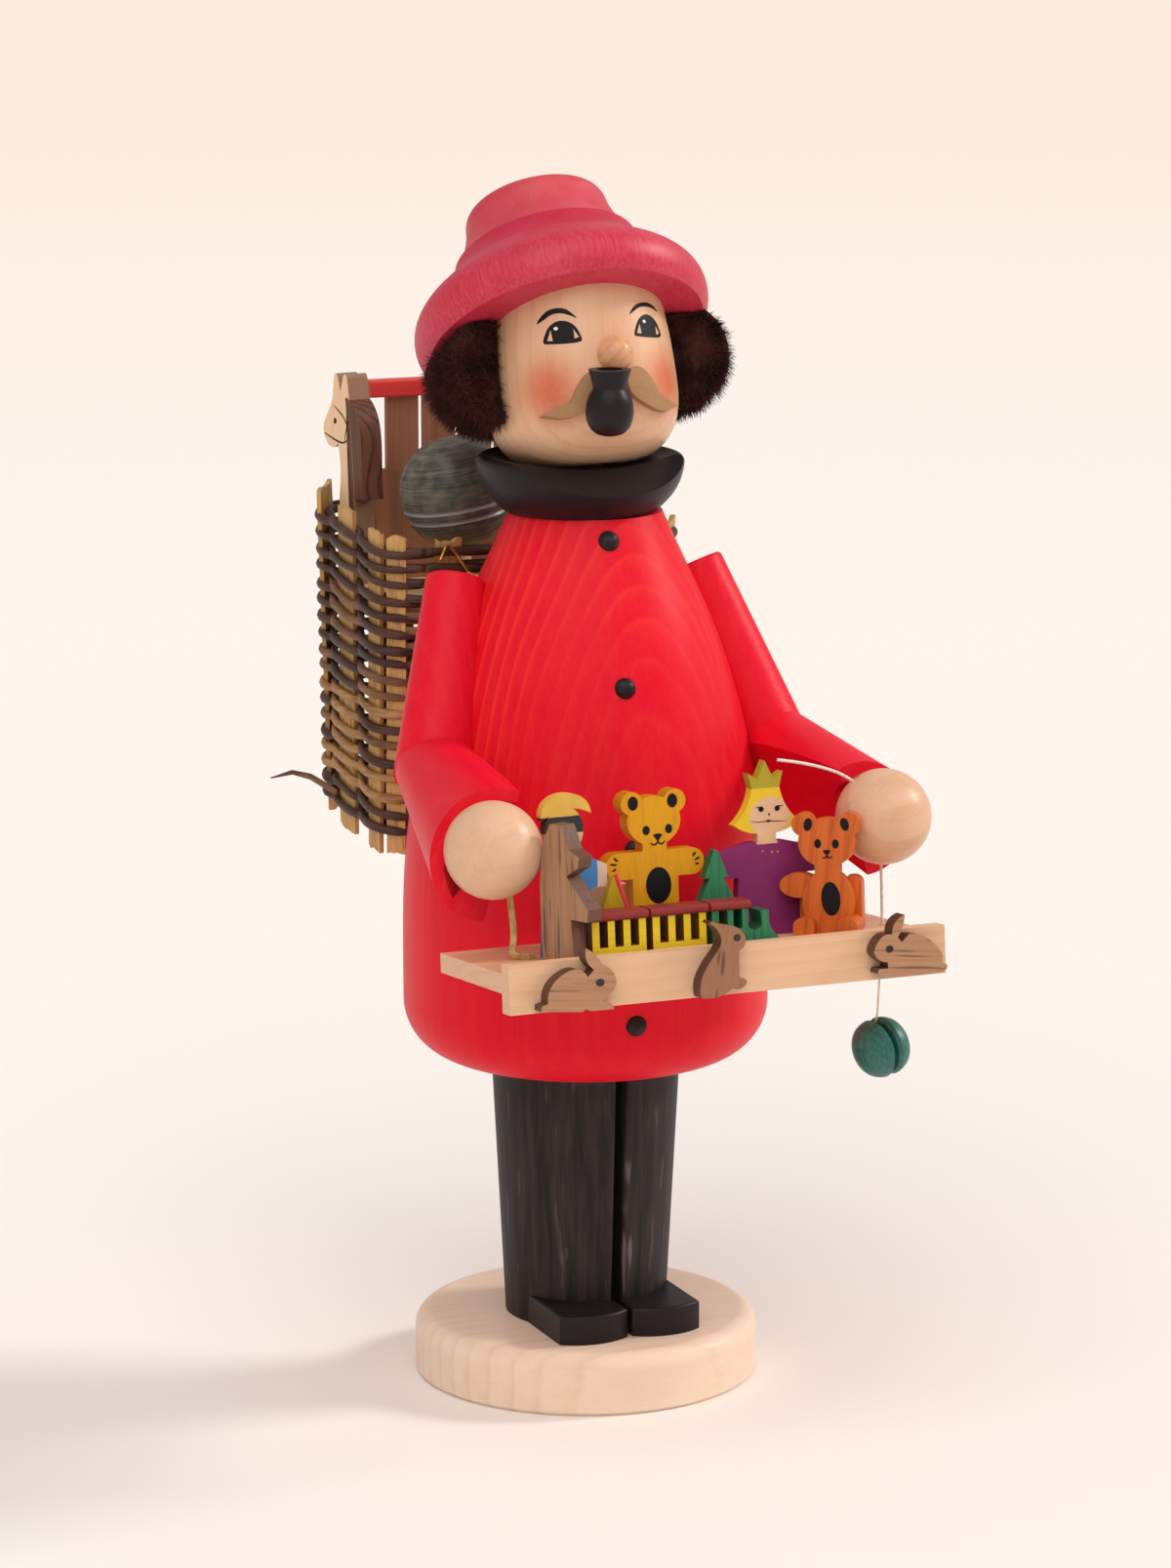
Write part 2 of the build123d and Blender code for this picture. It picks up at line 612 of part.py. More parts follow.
def make_upper_arm(side):
    shoulder, elbow, _, _ = arm_points(side)
    along = (elbow - shoulder).normalized()
    run = (elbow - shoulder).length
    spare = 1.4 * ELBOW_RADIUS
    end_radius = ELBOW_RADIUS + (ELBOW_RADIUS - SHOULDER_RADIUS) * spare / run
    arm = rod(shoulder, elbow + along * spare, SHOULDER_RADIUS, end_radius)
    arm = split(arm, mitre(side), keep=Keep.BOTTOM)
    top = arm.edges().sort_by(Axis.Z)[-1]
    arm = fillet(top, 1.2)
    return arm - coat_solid - shoulder_dowel(side)


def make_forearm(side):
    """Sleeve that flares to an upright cuff, hollowed for the hand."""
    _, elbow, cuff, hand = arm_points(side)
    cuff_radius = CUFF_RADIUS_RIGHT if side < 0 else CUFF_RADIUS_LEFT
    along = (cuff - elbow).normalized()
    run = (cuff - elbow).length
    spare = 1.4 * ELBOW_RADIUS
    flare = (cuff_radius - ELBOW_RADIUS) / run
    arm = rod(elbow - along * spare, cuff + along * spare, ELBOW_RADIUS - flare * spare, cuff_radius + flare * spare)
    arm = split(arm, mitre(side), keep=Keep.TOP)
    arm = split(arm, Plane(origin=cuff, z_dir=(0, -1, 0)), keep=Keep.BOTTOM)
    depth = HAND_RADIUS - cuff_gap(side)
    floor_place = Vector(hand.X, cuff.Y + depth, hand.Z)
    cup = rod(floor_place, Vector(cuff.X, cuff.Y, cuff.Z), CUFF_FLOOR_RADIUS, cuff_radius - CUFF_RIM)
    rim = rod(Vector(cuff.X, cuff.Y, cuff.Z), Vector(cuff.X, cuff.Y - 2, cuff.Z), cuff_radius - CUFF_RIM)
    seat = Pos(*hand) * Sphere(HAND_RADIUS)
    flat = Pos(cuff.X - side * CUFF_FLAT, cuff.Y, cuff.Z) * Rot(0, -side * CUFF_FLAT_LEAN, side * CUFF_FLAT_TURN)
    inside = flat * Pos(-side * COAT_RADIUS, 0, 0) * Box(2 * COAT_RADIUS, 4 * COAT_RADIUS, 4 * COAT_RADIUS)
    return arm - cup - rim - seat - coat_solid - arm_dowel(side) - inside


def make_hand(side):
    ball = Pos(*arm_points(side)[3]) * Sphere(HAND_RADIUS)
    return ball - arm_dowel(side)


# Tray, in its own frame: origin on the floor at the rail's inner face, Y toward the figure
tray_rear = -(COAT_RADIUS - TRAY_SEAT)
tray_frame = (
    Pos(0, tray_rear, coat_bottom + TRAY_REAR_HEIGHT) * Rot(-TRAY_TILT, 0, 0) * Pos(0, -TRAY_DEPTH, 0)
)


def on_tray(x, y, turn, toy):
    """Stand a toy on the tray, y behind the rail, turned about the upright."""
    return tray_frame * Pos(x, y, 0) * Rot(0, 0, turn) * toy


def tray_dowel(grow=0.0):
    pegs = [Pos(x, TRAY_DEPTH, -TRAY_FLOOR / 2) * Rot(90, 0, 0) * Cylinder(1.5 + grow, 18) for x in (-7, 7)]
    return tray_frame * (Part() + pegs)


hand_left = arm_points(1)[3]
hole_place = (HAND_SPREAD, hand_left.Y)


def cord_hole():
    return Pos(hole_place[0], hole_place[1], coat_bottom) * extrude(Circle(CORD_HOLE_RADIUS), COAT_RADIUS * 1.3)


def make_tray_floor():
    floor = tray_frame * block(0, 0, -TRAY_FLOOR, TRAY_LENGTH, TRAY_DEPTH, TRAY_FLOOR)
    return floor - coat_solid - tray_dowel() - cord_hole()


def make_tray_rail():
    rail = block(0, -RAIL_THICKNESS, RAIL_RISE - RAIL_HEIGHT, TRAY_LENGTH, RAIL_THICKNESS, RAIL_HEIGHT)
    return tray_frame * rail


# Hares on the rail's front
crouching_hare = drawn(
    ((-53.3, -8.9), (-53.1, -7.6)),
    ((-53.1, -7.6), (-51.4, -7.1)),
    ((-51.4, -7.1), (-50.4, -3.0), (-47.6, -0.4), (-43.6, 0.8), (-40.6, -1.4)),
    ((-40.6, -1.4), (-38.9, 0.3)),
    ((-38.9, 0.3), (-40.9, 3.0), (-40.9, 5.8)),
    ((-40.9, 5.8), (-38.2, 3.7), (-36.7, 1.3)),
    ((-36.7, 1.3), (-34.0, -0.5), (-33.1, -3.8), (-34.5, -5.8), (-36.7, -7.6)),
    ((-36.7, -7.6), (-34.3, -8.9), (-33.9, -9.9)),
    ((-33.9, -9.9), (-40.2, -9.9)),
    ((-40.2, -9.9), (-41.3, -9.3), (-42.3, -9.9)),
    ((-42.3, -9.9), (-53.3, -8.9)),
)
sitting_hare = drawn(
    ((-10.3, -9.4), (-9.6, -3.6), (-6.5, 0.8), (-4.5, 4.0), (-5.4, 7.2), (-7.6, 9.0)),
    ((-7.6, 9.0), (-6.9, 9.6)),
    ((-6.9, 9.6), (-3.2, 8.4), (0.6, 7.0), (2.2, 4.3), (0.3, 1.5)),
    ((0.3, 1.5), (0.3, -1.8), (0.1, -5.1)),
    ((0.1, -5.1), (2.1, -6.8), (0.5, -8.0), (-1.7, -7.6)),
    ((-1.7, -7.6), (-4.0, -9.0), (-7.4, -9.7), (-10.3, -9.4)),
)
resting_hare = drawn(
    ((37.5, -2.3), (39.0, 0.8), (40.6, 1.9), (42.7, 1.9)),
    ((42.7, 1.9), (43.3, 4.5), (46.3, 6.7)),
    ((46.3, 6.7), (45.8, 4.2), (44.2, 1.1)),
    ((44.2, 1.1), (45.3, -0.2)),
    ((45.3, -0.2), (47.4, 1.6)),
    ((47.4, 1.6), (51.4, 0.8), (54.6, -1.6), (56.4, -4.0), (56.5, -6.5)),
    ((56.5, -6.5), (57.9, -7.2), (56.7, -8.9)),
    ((56.7, -8.9), (48.4, -8.9), (40.9, -8.5), (38.3, -7.7)),
    ((38.3, -7.7), (38.8, -6.5)),
    ((38.8, -6.5), (41.3, -6.6)),
    ((41.3, -6.6), (41.2, -5.0)),
    ((41.2, -5.0), (38.8, -4.2), (37.5, -2.3)),
)


def make_hare(shape):
    """Cut-out hare glued to the rail's front; the shapes are drawn in the tray's frame."""
    return tray_frame * Pos(0, -RAIL_THICKNESS, 0) * board(shape, HARE_THICKNESS)


# Toys on the tray
def bear_head(level):
    ears = [Pos(x, level + 4.7) * Circle(3.0) for x in (-5.9, 5.9)]
    return Pos(0, level) * Ellipse(7.3, 6.3) + ears


def make_yellow_bear():
    """Standing bear with open arms."""
    arms = Pos(0, 21.2) * SlotOverall(27.0, 6.8)
    body = Pos(0, 13.0) * RectangleRounded(12.4, 19.0, 3.0)
    feet = Pos(0, 3.2) * SlotOverall(17.0, 6.4)
    shape = bear_head(32.2) + Pos(0, 25.4) * Rectangle(6.6, 5.0) + arms + body + feet
    return on_tray(-9.6, 23.5, 0, board(shape, 5.0))


def make_orange_bear():
    """Sitting bear, built up of three layers: head and body between two legs with arms."""
    shape = bear_head(24.0) + Pos(0, 17.0) * Rectangle(6.4, 5.0) + Pos(0, 8.5) * Ellipse(6.6, 8.5)
    body = board(shape + Pos(0, 2.0) * Rectangle(9.0, 4.0), 4.0)
    leg = RectangleRounded(5.4, 5.2, 2.0)
    toy = body
    for side in (-1, 1):
        toy += Pos(side * 5.6, 0, 2.6) * Rot(90, 0, 0) * extrude(leg, 8.8)
        toy += Pos(side * 5.6, 4.0, 7.5) * Rot(90, 0, 0) * extrude(RectangleRounded(5.0, 15.0, 2.2), 4.0)
    paw = Pos(-7.6, 0.2, 13.0) * Rot(90, 0, 0) * extrude(Ellipse(5.0, 3.2), 3.4)
    return on_tray(36.3, 12.7, -36, toy + paw)


def make_princess():
    crown = straight((-3.6, 37.0), (-4.9, 42.0), (-2.2, 40.4), (0, 45.0), (2.2, 40.4), (4.9, 42.0), (3.6, 37.0))
    hair = drawn(
        ((-3.9, 38.0), (-6.6, 31.6), (-9.2, 29.0)),
        ((-9.2, 29.0), (-5.0, 26.8), (0, 26.2), (5.0, 26.8), (9.2, 29.0)),
        ((9.2, 29.0), (6.6, 31.6), (3.9, 38.0)),
        ((3.9, 38.0), (-3.9, 38.0)),
    )
    robe = straight((-5.0, 24.2), (5.0, 24.2), (16.4, 21.4), (16.2, 15.8), (8.2, 15.4), (9.4, 0), (-9.4, 0),
                    (-8.2, 15.4), (-16.2, 15.8), (-16.4, 21.4))
    shape = crown + hair + Pos(0, 25.4) * Rectangle(5.2, 4.0) + robe
    return on_tray(22.4, 23.5, 0, board(shape, 3.2))


def make_jester():
    cap = drawn(
        ((-6.4, 34.6), (-4.6, 39.6), (0.4, 41.2), (5.4, 39.4), (7.0, 35.8)),
        ((7.0, 35.8), (3.0, 37.2), (-6.4, 34.6)),
    )
    face = Pos(-0.4, 32.0) * Ellipse(5.2, 6.0)
    coat = straight((-4.6, 25.4), (4.6, 25.4), (10.8, 22.6), (10.8, 17.4), (6.4, 16.8), (7.0, 0), (-6.8, 0),
                    (-5.8, 16.8))
    return on_tray(-34.4, 20.0, 0, board(cap + face + Pos(0, 26.0) * Rectangle(5.0, 3.0) + coat, 3.2))


def make_fir_tree():
    tiers = []
    for foot, tip, half in ((17.0, 24.0, 3.4), (11.0, 19.5, 5.0), (3.4, 14.0, 6.4)):
        tiers.append(Polygon((-half, foot), (half, foot), (0.5, tip), (-0.5, tip), align=None))
    return on_tray(5.0, 16.5, 0, board(Sketch() + tiers + Pos(0, 2.0) * Rectangle(3.0, 4.0), 3.0))


COACH_LENGTH = 14.6
COACH_DEPTH = 7.0
COACH_HEIGHT = 10.2
ROOF_HEIGHT = 2.2
TRAIN_Y = 2.0
coach_places = (-27.0, -10.6)


def make_coach(x):
    """Coach block with three window slots through it."""
    body = block(0, 0, 0, COACH_LENGTH, COACH_DEPTH, COACH_HEIGHT)
    for step in (-1, 0, 1):
        body -= block(step * 4.2, -1, 3.6, 2.3, COACH_DEPTH + 2, COACH_HEIGHT)
    return on_tray(x, TRAIN_Y, 0, body)


def make_train_roofs():
    """Coach roofs and the cab roof, each a bar with a rounded top."""
    profile = Pos(0, ROOF_HEIGHT / 2) * RectangleRounded(COACH_DEPTH + 1.4, ROOF_HEIGHT, 0.9)
    roofs = []
    for x, length in ((coach_places[0], 15.8), (coach_places[1], 15.8), (3.4, 11.0)):
        bar = Pos(-length / 2, COACH_DEPTH / 2, COACH_HEIGHT) * extrude(Plane.YZ * profile, length)
        roofs.append(on_tray(x, TRAIN_Y, 0, bar))
    return Part() + roofs


def make_engine():
    """Cab with open windows, boiler, chimney and cowcatcher in one outline."""
    side = make_face([
        Line((-1.6, 0), (-1.6, COACH_HEIGHT)),
        Line((-1.6, COACH_HEIGHT), (8.2, COACH_HEIGHT)),
        Line((8.2, COACH_HEIGHT), (8.2, 6.2)),
        ThreePointArc((8.2, 6.2), (10.2, 4.6), (12.0, 6.4)),
        Line((12.0, 6.4), (11.6, 9.4)),
        Line((11.6, 9.4), (14.0, 9.4)),
        Line((14.0, 9.4), (14.0, 6.4)),
        Spline((14.0, 6.4), (17.2, 1.6), tangents=((0.2, -1), (1, -1))),
        Line((17.2, 1.6), (15.4, 0)),
        Line((15.4, 0), (-1.6, 0)),
    ])
    body = Pos(0, COACH_DEPTH, 0) * board(side, COACH_DEPTH)
    for x in (1.4, 5.4):
        body -= block(x, -1, 5.4, 2.4, COACH_DEPTH + 2, COACH_HEIGHT)
    return on_tray(0, TRAIN_Y, 0, body)


def make_dog():
    """Begging dog, a thick cut-out that looks past the tray's rail."""
    shape = Polygon((-4.4, 0), (6.0, 0), (5.4, 11.6), (10.8, 11.2), (11.2, 14.2), (4.4, 22.4), (8.2, 24.6),
                    (8.8, 27.2), (5.6, 29.0), (3.2, 35.0), (-0.6, 35.2), (-3.4, 29.6), (-4.6, 20.0), align=None)
    return on_tray(-40.4, 7.0, -64, Pos(0, 2.5, 0) * board(shape, 5.0))


def make_boat_hull():
    hull = Polygon((-7.4, 0), (7.0, 0), (8.6, 7.4), (-5.6, 7.4), (-8.8, 11.6), (-9.4, 7.0), align=None)
    return on_tray(-23.0, 16.4, 0, board(hull, 5.0))


def boat_stick():
    return rod((0.9, -1.2, 19.8), (4.9, -1.2, 8.0), 0.8)


def make_boat_sail():
    sail = Polygon((-4.6, 7.4), (4.4, 7.4), (0.2, 19.6), (-0.2, 19.6), align=None)
    return on_tray(-23.6, 15.2, 0, board(sail, 2.4) - boat_stick())


def make_boat_yard():
    """Red stick along the sail's right edge."""
    return on_tray(-23.6, 15.2, 0, boat_stick())


def make_toy_block():
    return on_tray(-17.6, 30.0, 0, block(0, 0, 0, 11.6, 8.0, 15.0))


def make_hand_lace():
    """Leather lace that hangs from the right hand and curls on the tray."""
    points = ((-49.0, 20.0, 17.4), (-48.0, 19.6, 6.0), (-49.6, 19.0, 1.6), (-47.0, 18.2, 0.7), (-43.6, 17.4, 0.7))
    hand = Pos(*arm_points(-1)[3]) * Sphere(HAND_RADIUS)
    return tray_frame * tube(points, LACE_BEND, LACE_RADIUS) - hand


# Cords and yo-yo
def tray_underside(y):
    """Height of the tray floor's underside at a world Y."""
    rise = (tray_rear - y) * sin(radians(TRAY_TILT)) / cos(radians(TRAY_TILT))
    return coat_bottom + TRAY_REAR_HEIGHT + rise - TRAY_FLOOR / cos(radians(TRAY_TILT))


pivot = Vector(hole_place[0], hole_place[1], tray_underside(hole_place[1]))
cord_entry = hand_left + Vector(-0.55, 0.25, 0.8).normalized() * HAND_RADIUS
cord_tail_end = cord_entry + Vector(-21.7, 0.5, 6.4)


def hand_bore():
    upper = rod(hand_left, cord_entry + Vector(-0.55, 0.25, 0.8) * 3, CORD_HOLE_RADIUS * 1.6)
    lower = rod(hand_left + Vector(0, 0, 3), hand_left - Vector(0, 0, HAND_RADIUS + 3), CORD_HOLE_RADIUS * 1.3)
    return upper + lower


def make_cord_upper():
    """Free tail, through the hand, and down to the hole in the tray's floor."""
    points = (
        cord_tail_end,
        cord_tail_end + Vector(9.0, -0.4, -1.4),
        cord_entry,
        hand_left,
        pivot,
    )
    return tube(points, CORD_BEND, CORD_RADIUS)


yo_yo_place = pivot - Vector(0, 0, YO_YO_DROP)


def make_cord_hang():
    """Bowed hanging length, into the yo-yo's groove."""
    start = pivot - Vector(0, 0, CORD_GAP)
    end = yo_yo_place + Vector(-1.2, -0.4, YO_YO_RADIUS - YO_YO_GROOVE_DEPTH + CORD_RADIUS + 1.0)
    points = (start, pivot - Vector(0.1, 0, 4.0), pivot - Vector(0.9, 0.3, 11.0), end)
    return tube(points, CORD_BEND, CORD_RADIUS)


def make_yo_yo():
    half = YO_YO_WIDTH / 2
    groove = YO_YO_GROOVE / 2
    floor_radius = YO_YO_RADIUS - YO_YO_GROOVE_DEPTH
    spool = turned([
        Line((0, -half), (2.0, -half)),
        Spline((2.0, -half), (YO_YO_RADIUS, -groove - 0.8), tangents=((1, 0.1), (0.15, 1))),
        Line((YO_YO_RADIUS, -groove - 0.8), (YO_YO_RADIUS - 0.8, -groove)),
        Line((YO_YO_RADIUS - 0.8, -groove), (floor_radius, -groove)),
        Line((floor_radius, -groove), (floor_radius, groove)),
        Line((floor_radius, groove), (YO_YO_RADIUS - 0.8, groove)),
        Line((YO_YO_RADIUS - 0.8, groove), (YO_YO_RADIUS, groove + 0.8)),
        Spline((YO_YO_RADIUS, groove + 0.8), (2.0, half), tangents=((-0.15, 1), (-1, 0.1))),
        Line((2.0, half), (0, half)),
        Line((0, half), (0, -half)),
    ])
    return Plane(origin=yo_yo_place, z_dir=YO_YO_AXIS).location * spool


# Basket
foot_z = coat_bottom + BASKET_FOOT_HEIGHT
rim_z = coat_bottom + BASKET_RIM_HEIGHT
shelf_z = rim_z - SHELF_DROP
rim_back = BASKET_RIM_FRONT + BASKET_RIM_DEPTH
ball_centre = (*BALL_PLACE, shelf_z + BALL_RISE)
foot_plane = Pos(BASKET_SIDE, BASKET_FOOT_FRONT + BASKET_FOOT_DEPTH / 2, foot_z) * Rot(BASKET_FOOT_TILT, 0, 0)
rim_plane = Pos(BASKET_SIDE, BASKET_RIM_FRONT + BASKET_RIM_DEPTH / 2, rim_z) * Rot(BASKET_RIM_TILT, 0, 0)
coat_room = coat_form(GLUE_LINE)


def basket_ring(width, depth, inset):
    return RectangleRounded(width - 2 * inset, depth - 2 * inset, BASKET_CORNER - inset)


def basket_form(inset):
    foot = foot_plane * basket_ring(BASKET_FOOT_WIDTH, BASKET_FOOT_DEPTH, inset)
    rim = rim_plane * basket_ring(BASKET_RIM_WIDTH, BASKET_RIM_DEPTH, inset)
    return loft([foot, rim], ruled=True)


def stake_places():
    """Foot, top and direction along the wall of each stake that stands clear of the coat."""
    inset = BASKET_WALL / 2
    foot = basket_ring(BASKET_FOOT_WIDTH, BASKET_FOOT_DEPTH, inset).wire()
    rim = basket_ring(BASKET_RIM_WIDTH, BASKET_RIM_DEPTH, inset).wire()
    for index in range(STAKE_COUNT):
        t = (index + 0.5) / STAKE_COUNT
        low = (foot_plane * Pos(*(foot @ t))).position
        high = (rim_plane * Pos(*(rim @ t))).position
        along = (high - low).normalized()
        if Vector(low.X, low.Y, 0).length > COAT_RADIUS + STAKE_WIDTH:
            yield low - along * STAKE_END, high + along * STAKE_END, rim % t


def make_stakes():
    stakes = []
    for low, high, tangent in stake_places():
        along = (high - low).normalized()
        place = Plane(origin=low, x_dir=tangent - along * tangent.dot(along), z_dir=along)
        splint = extrude(Rectangle(STAKE_WIDTH, STAKE_THICKNESS), (high - low).length)
        stakes.append(place.location * splint)
    return Part() + stakes


stakes_solid = make_stakes()


def make_basket_wall():
    """Woven wall, open in front where it is fitted to the coat."""
    return basket_form(0) - basket_form(BASKET_WALL) - stakes_solid - coat_room


def make_basket_floor():
    slab = foot_plane * extrude(Rectangle(2 * BASKET_FOOT_WIDTH, 2 * BASKET_FOOT_DEPTH), BASKET_FLOOR)
    return (basket_form(BASKET_WALL) & slab) - coat_room - stakes_solid


def make_basket_shelf():
    """False floor below the rim that the toys are glued to, with a peg under the ball."""
    slab = block(0, 0, shelf_z - SHELF_THICKNESS, 4 * BASKET_RIM_WIDTH, 4 * BASKET_RIM_DEPTH, SHELF_THICKNESS)
    shelf = (basket_form(BASKET_WALL) & slab) - coat_room - stakes_solid
    x, y, z = ball_centre
    peg = rod((x, y, shelf_z - 1), (x, y, z), BALL_PEG_RADIUS)
    return shelf + peg - Pos(x, y, z) * Sphere(BALL_RADIUS)


# Toys in the basket
def make_toy_ball():
    """Turned ball with two scored rings."""
    ball = Sphere(BALL_RADIUS)
    for level in (-5.5, -2.5):
        ring = Rectangle(1.0, 1.0)
        ball -= revolve(Plane.XZ * Pos(sqrt(BALL_RADIUS ** 2 - level ** 2), level) * Rot(0, 0, 45) * ring, Axis.Z)
    return Pos(*ball_centre) * Rot(0, 8, 0) * ball


horse_frame = Pos(*HORSE_PLACE, shelf_z + HORSE_RISE) * Rot(0, 0, HORSE_TURN) * Rot(0, 0, -90)
horse_neck = -HORSE_RISE


def make_horse_head():
    """Hobby horse head and neck, a board in profile that looks to the back."""
    face = drawn(
        ((4.6, horse_neck), (-3.4, horse_neck)),
        ((-3.4, horse_neck), (-3.4, 0)),
        ((-3.4, 0), (-3.0, 10.0), (-4.0, 14.0)),
        ((-4.0, 14.0), (-9.6, 13.6), (-11.8, 17.0), (-9.0, 22.6), (-6.6, 27.0)),
        ((-6.6, 27.0), (-5.8, 32.4)),
        ((-5.8, 32.4), (-4.8, 33.2), (-3.8, 32.4)),
        ((-3.8, 32.4), (-2.4, 28.4)),
        ((-2.4, 28.4), (-1.0, 32.6)),
        ((-1.0, 32.6), (0.2, 33.4), (1.2, 32.4)),
        ((1.2, 32.4), (2.4, 26.6)),
        ((2.4, 26.6), (4.6, 0)),
        ((4.6, 0), (4.6, horse_neck)),
    )
    return horse_frame * Pos(0, HORSE_THICKNESS / 2, 0) * board(face, HORSE_THICKNESS)


def make_horse_mane():
    """Dark mane slab along the back of the neck."""
    slab = drawn(
        ((4.6, 0), (2.4, 26.6)),
        ((2.4, 26.6), (6.6, 22.6), (8.8, 12.0), (9.6, 0)),
        ((9.6, 0), (4.6, 0)),
    )
    return horse_frame * Pos(0, HORSE_THICKNESS / 2, 0) * board(slab, HORSE_THICKNESS)


crib_middle = CRIB_LEFT_END + CRIB_LENGTH / 2
crib_back = rim_back - BASKET_WALL - 3.4
crib_top = shelf_z + CRIB_RISE


def make_crib_rail():
    depth, height = CRIB_CAP
    cap = block(crib_middle, crib_back - depth, crib_top - height, CRIB_LENGTH, depth, height)
    return fillet(cap.edges().filter_by(Axis.X), 0.6)


def make_crib_slats():
    """Slats of the doll's crib, on a board that stands on the shelf against the basket's back wall."""
    depth, height = CRIB_CAP
    foot = crib_top - height - CRIB_SLAT_HEIGHT
    middle = crib_back - depth / 2
    crib = block(crib_middle, middle - CRIB_BOARD_THICKNESS / 2, shelf_z, CRIB_LENGTH - 4.0,
                 CRIB_BOARD_THICKNESS, foot - shelf_z)
    pitch = CRIB_SLAT_WIDTH + CRIB_SLAT_GAP
    count = int((CRIB_LENGTH - 4.0 + CRIB_SLAT_GAP) // pitch)
    for index in range(count):
        x = crib_middle + (index - (count - 1) / 2) * pitch
        crib += block(x, middle - CRIB_SLAT_THICKNESS / 2, foot, CRIB_SLAT_WIDTH, CRIB_SLAT_THICKNESS,
                      CRIB_SLAT_HEIGHT)
    return crib


def make_tie_wires():
    """Brass wires that tie the basket's front wall to the coat, twisted up at their ends."""
    wires = []
    front = BASKET_RIM_FRONT - WIRE_RADIUS
    for side in (-1, 1):
        x = BASKET_SIDE + side * 24.0
        z = rim_z - 9.0
        points = ((side * 17.0, 15.0, z - 4.0), (x - side * 3.0, front - 2.0, z - 1.0), (x, front - 1.0, z + 4.0),
                  (x + side * 3.0, front - 1.6, z + 7.0), (x + side * 5.4, front - 2.8, z + 3.0))
        wires.append(tube(points, WIRE_BEND, WIRE_RADIUS) - coat_solid)
    return Part() + wires


NODES = {}


def build():
    legs = make_legs()
    NODES["base_disc"] = make_base_disc()
    NODES["leg_right"] = legs[0]
    NODES["leg_left"] = legs[1]
    NODES["shoe_right"] = make_shoe(-1)
    NODES["shoe_left"] = make_shoe(1)
    NODES["leg_plate"] = make_leg_plate()
    NODES["leg_dowels"] = make_leg_dowels()
    NODES["incense_dish"] = make_incense_dish()
    NODES["incense_cone"] = make_incense_cone()
    NODES["coat"] = make_coat([shoulder_dowel(-1), shoulder_dowel(1), tray_dowel()])
    NODES["coat_buttons"] = make_buttons()
    NODES["collar"] = make_collar()
    NODES["neck_peg"] = make_neck_peg()
    NODES["head"] = make_head()
    NODES["nose"] = make_nose()
    NODES["moustache"] = make_moustache()
    NODES["pipe_bowl"] = make_pipe_bowl()
    NODES["pipe_stem"] = make_pipe_stem()
    NODES["hair"] = make_hair()
    NODES["hat"] = make_hat()
    for side, word in ((-1, "right"), (1, "left")):
        NODES["upper_arm_" + word] = make_upper_arm(side)
        NODES["forearm_" + word] = make_forearm(side)
        NODES["hand_" + word] = make_hand(side)
    NODES["hand_left"] = NODES["hand_left"] - hand_bore()
    NODES["tray_floor"] = make_tray_floor()
    NODES["tray_rail"] = make_tray_rail()
    NODES["hare_crouching"] = make_hare(crouching_hare)
    NODES["hare_sitting"] = make_hare(sitting_hare)
    NODES["hare_resting"] = make_hare(resting_hare)
    NODES["bear_yellow"] = make_yellow_bear()
    NODES["bear_orange"] = make_orange_bear()
    NODES["puppet_princess"] = make_princess()
    NODES["puppet_jester"] = make_jester()
    NODES["fir_tree"] = make_fir_tree()
    NODES["coach_bodies"] = Part() + [make_coach(x) for x in coach_places]
    NODES["train_roofs"] = make_train_roofs()
    NODES["train_engine"] = make_engine()
    NODES["toy_dog"] = make_dog()
    NODES["boat_hull"] = make_boat_hull()
    NODES["boat_sail"] = make_boat_sail()
    NODES["boat_yard"] = make_boat_yard()
    NODES["toy_block"] = make_toy_block()
    NODES["hand_lace"] = make_hand_lace()
    NODES["cord_upper"] = make_cord_upper()
    NODES["cord_hang"] = make_cord_hang()
    NODES["yo_yo"] = make_yo_yo()
    NODES["basket_wall"] = make_basket_wall()
    NODES["basket_stakes"] = stakes_solid
    NODES["basket_floor"] = make_basket_floor()
    NODES["toy_ball"] = make_toy_ball()
    NODES["horse_head"] = make_horse_head()
    NODES["horse_mane"] = make_horse_mane()
    NODES["basket_shelf"] = make_basket_shelf()
    NODES["crib_rail"] = make_crib_rail()
    NODES["crib_slats"] = make_crib_slats()
    NODES["tie_wires"] = make_tie_wires()
    pegs = [arm_dowel(side, -GLUE_LINE) + shoulder_dowel(side, -GLUE_LINE) for side in (-1, 1)]
    NODES["arm_dowels"] = Part() + pegs
    NODES["tray_dowels"] = tray_dowel(-GLUE_LINE)


build()
os.makedirs("parts", exist_ok=True)
for name, shape in NODES.items():
    export_step(Compound(children=list(shape.solids())), f"parts/{name}.step")
    print(name, len(shape.solids()), round(shape.volume, 1))
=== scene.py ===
import math
import random

import bmesh
import bpy
import numpy as np
from mathutils import Matrix, Vector, noise
from mathutils.bvhtree import BVHTree


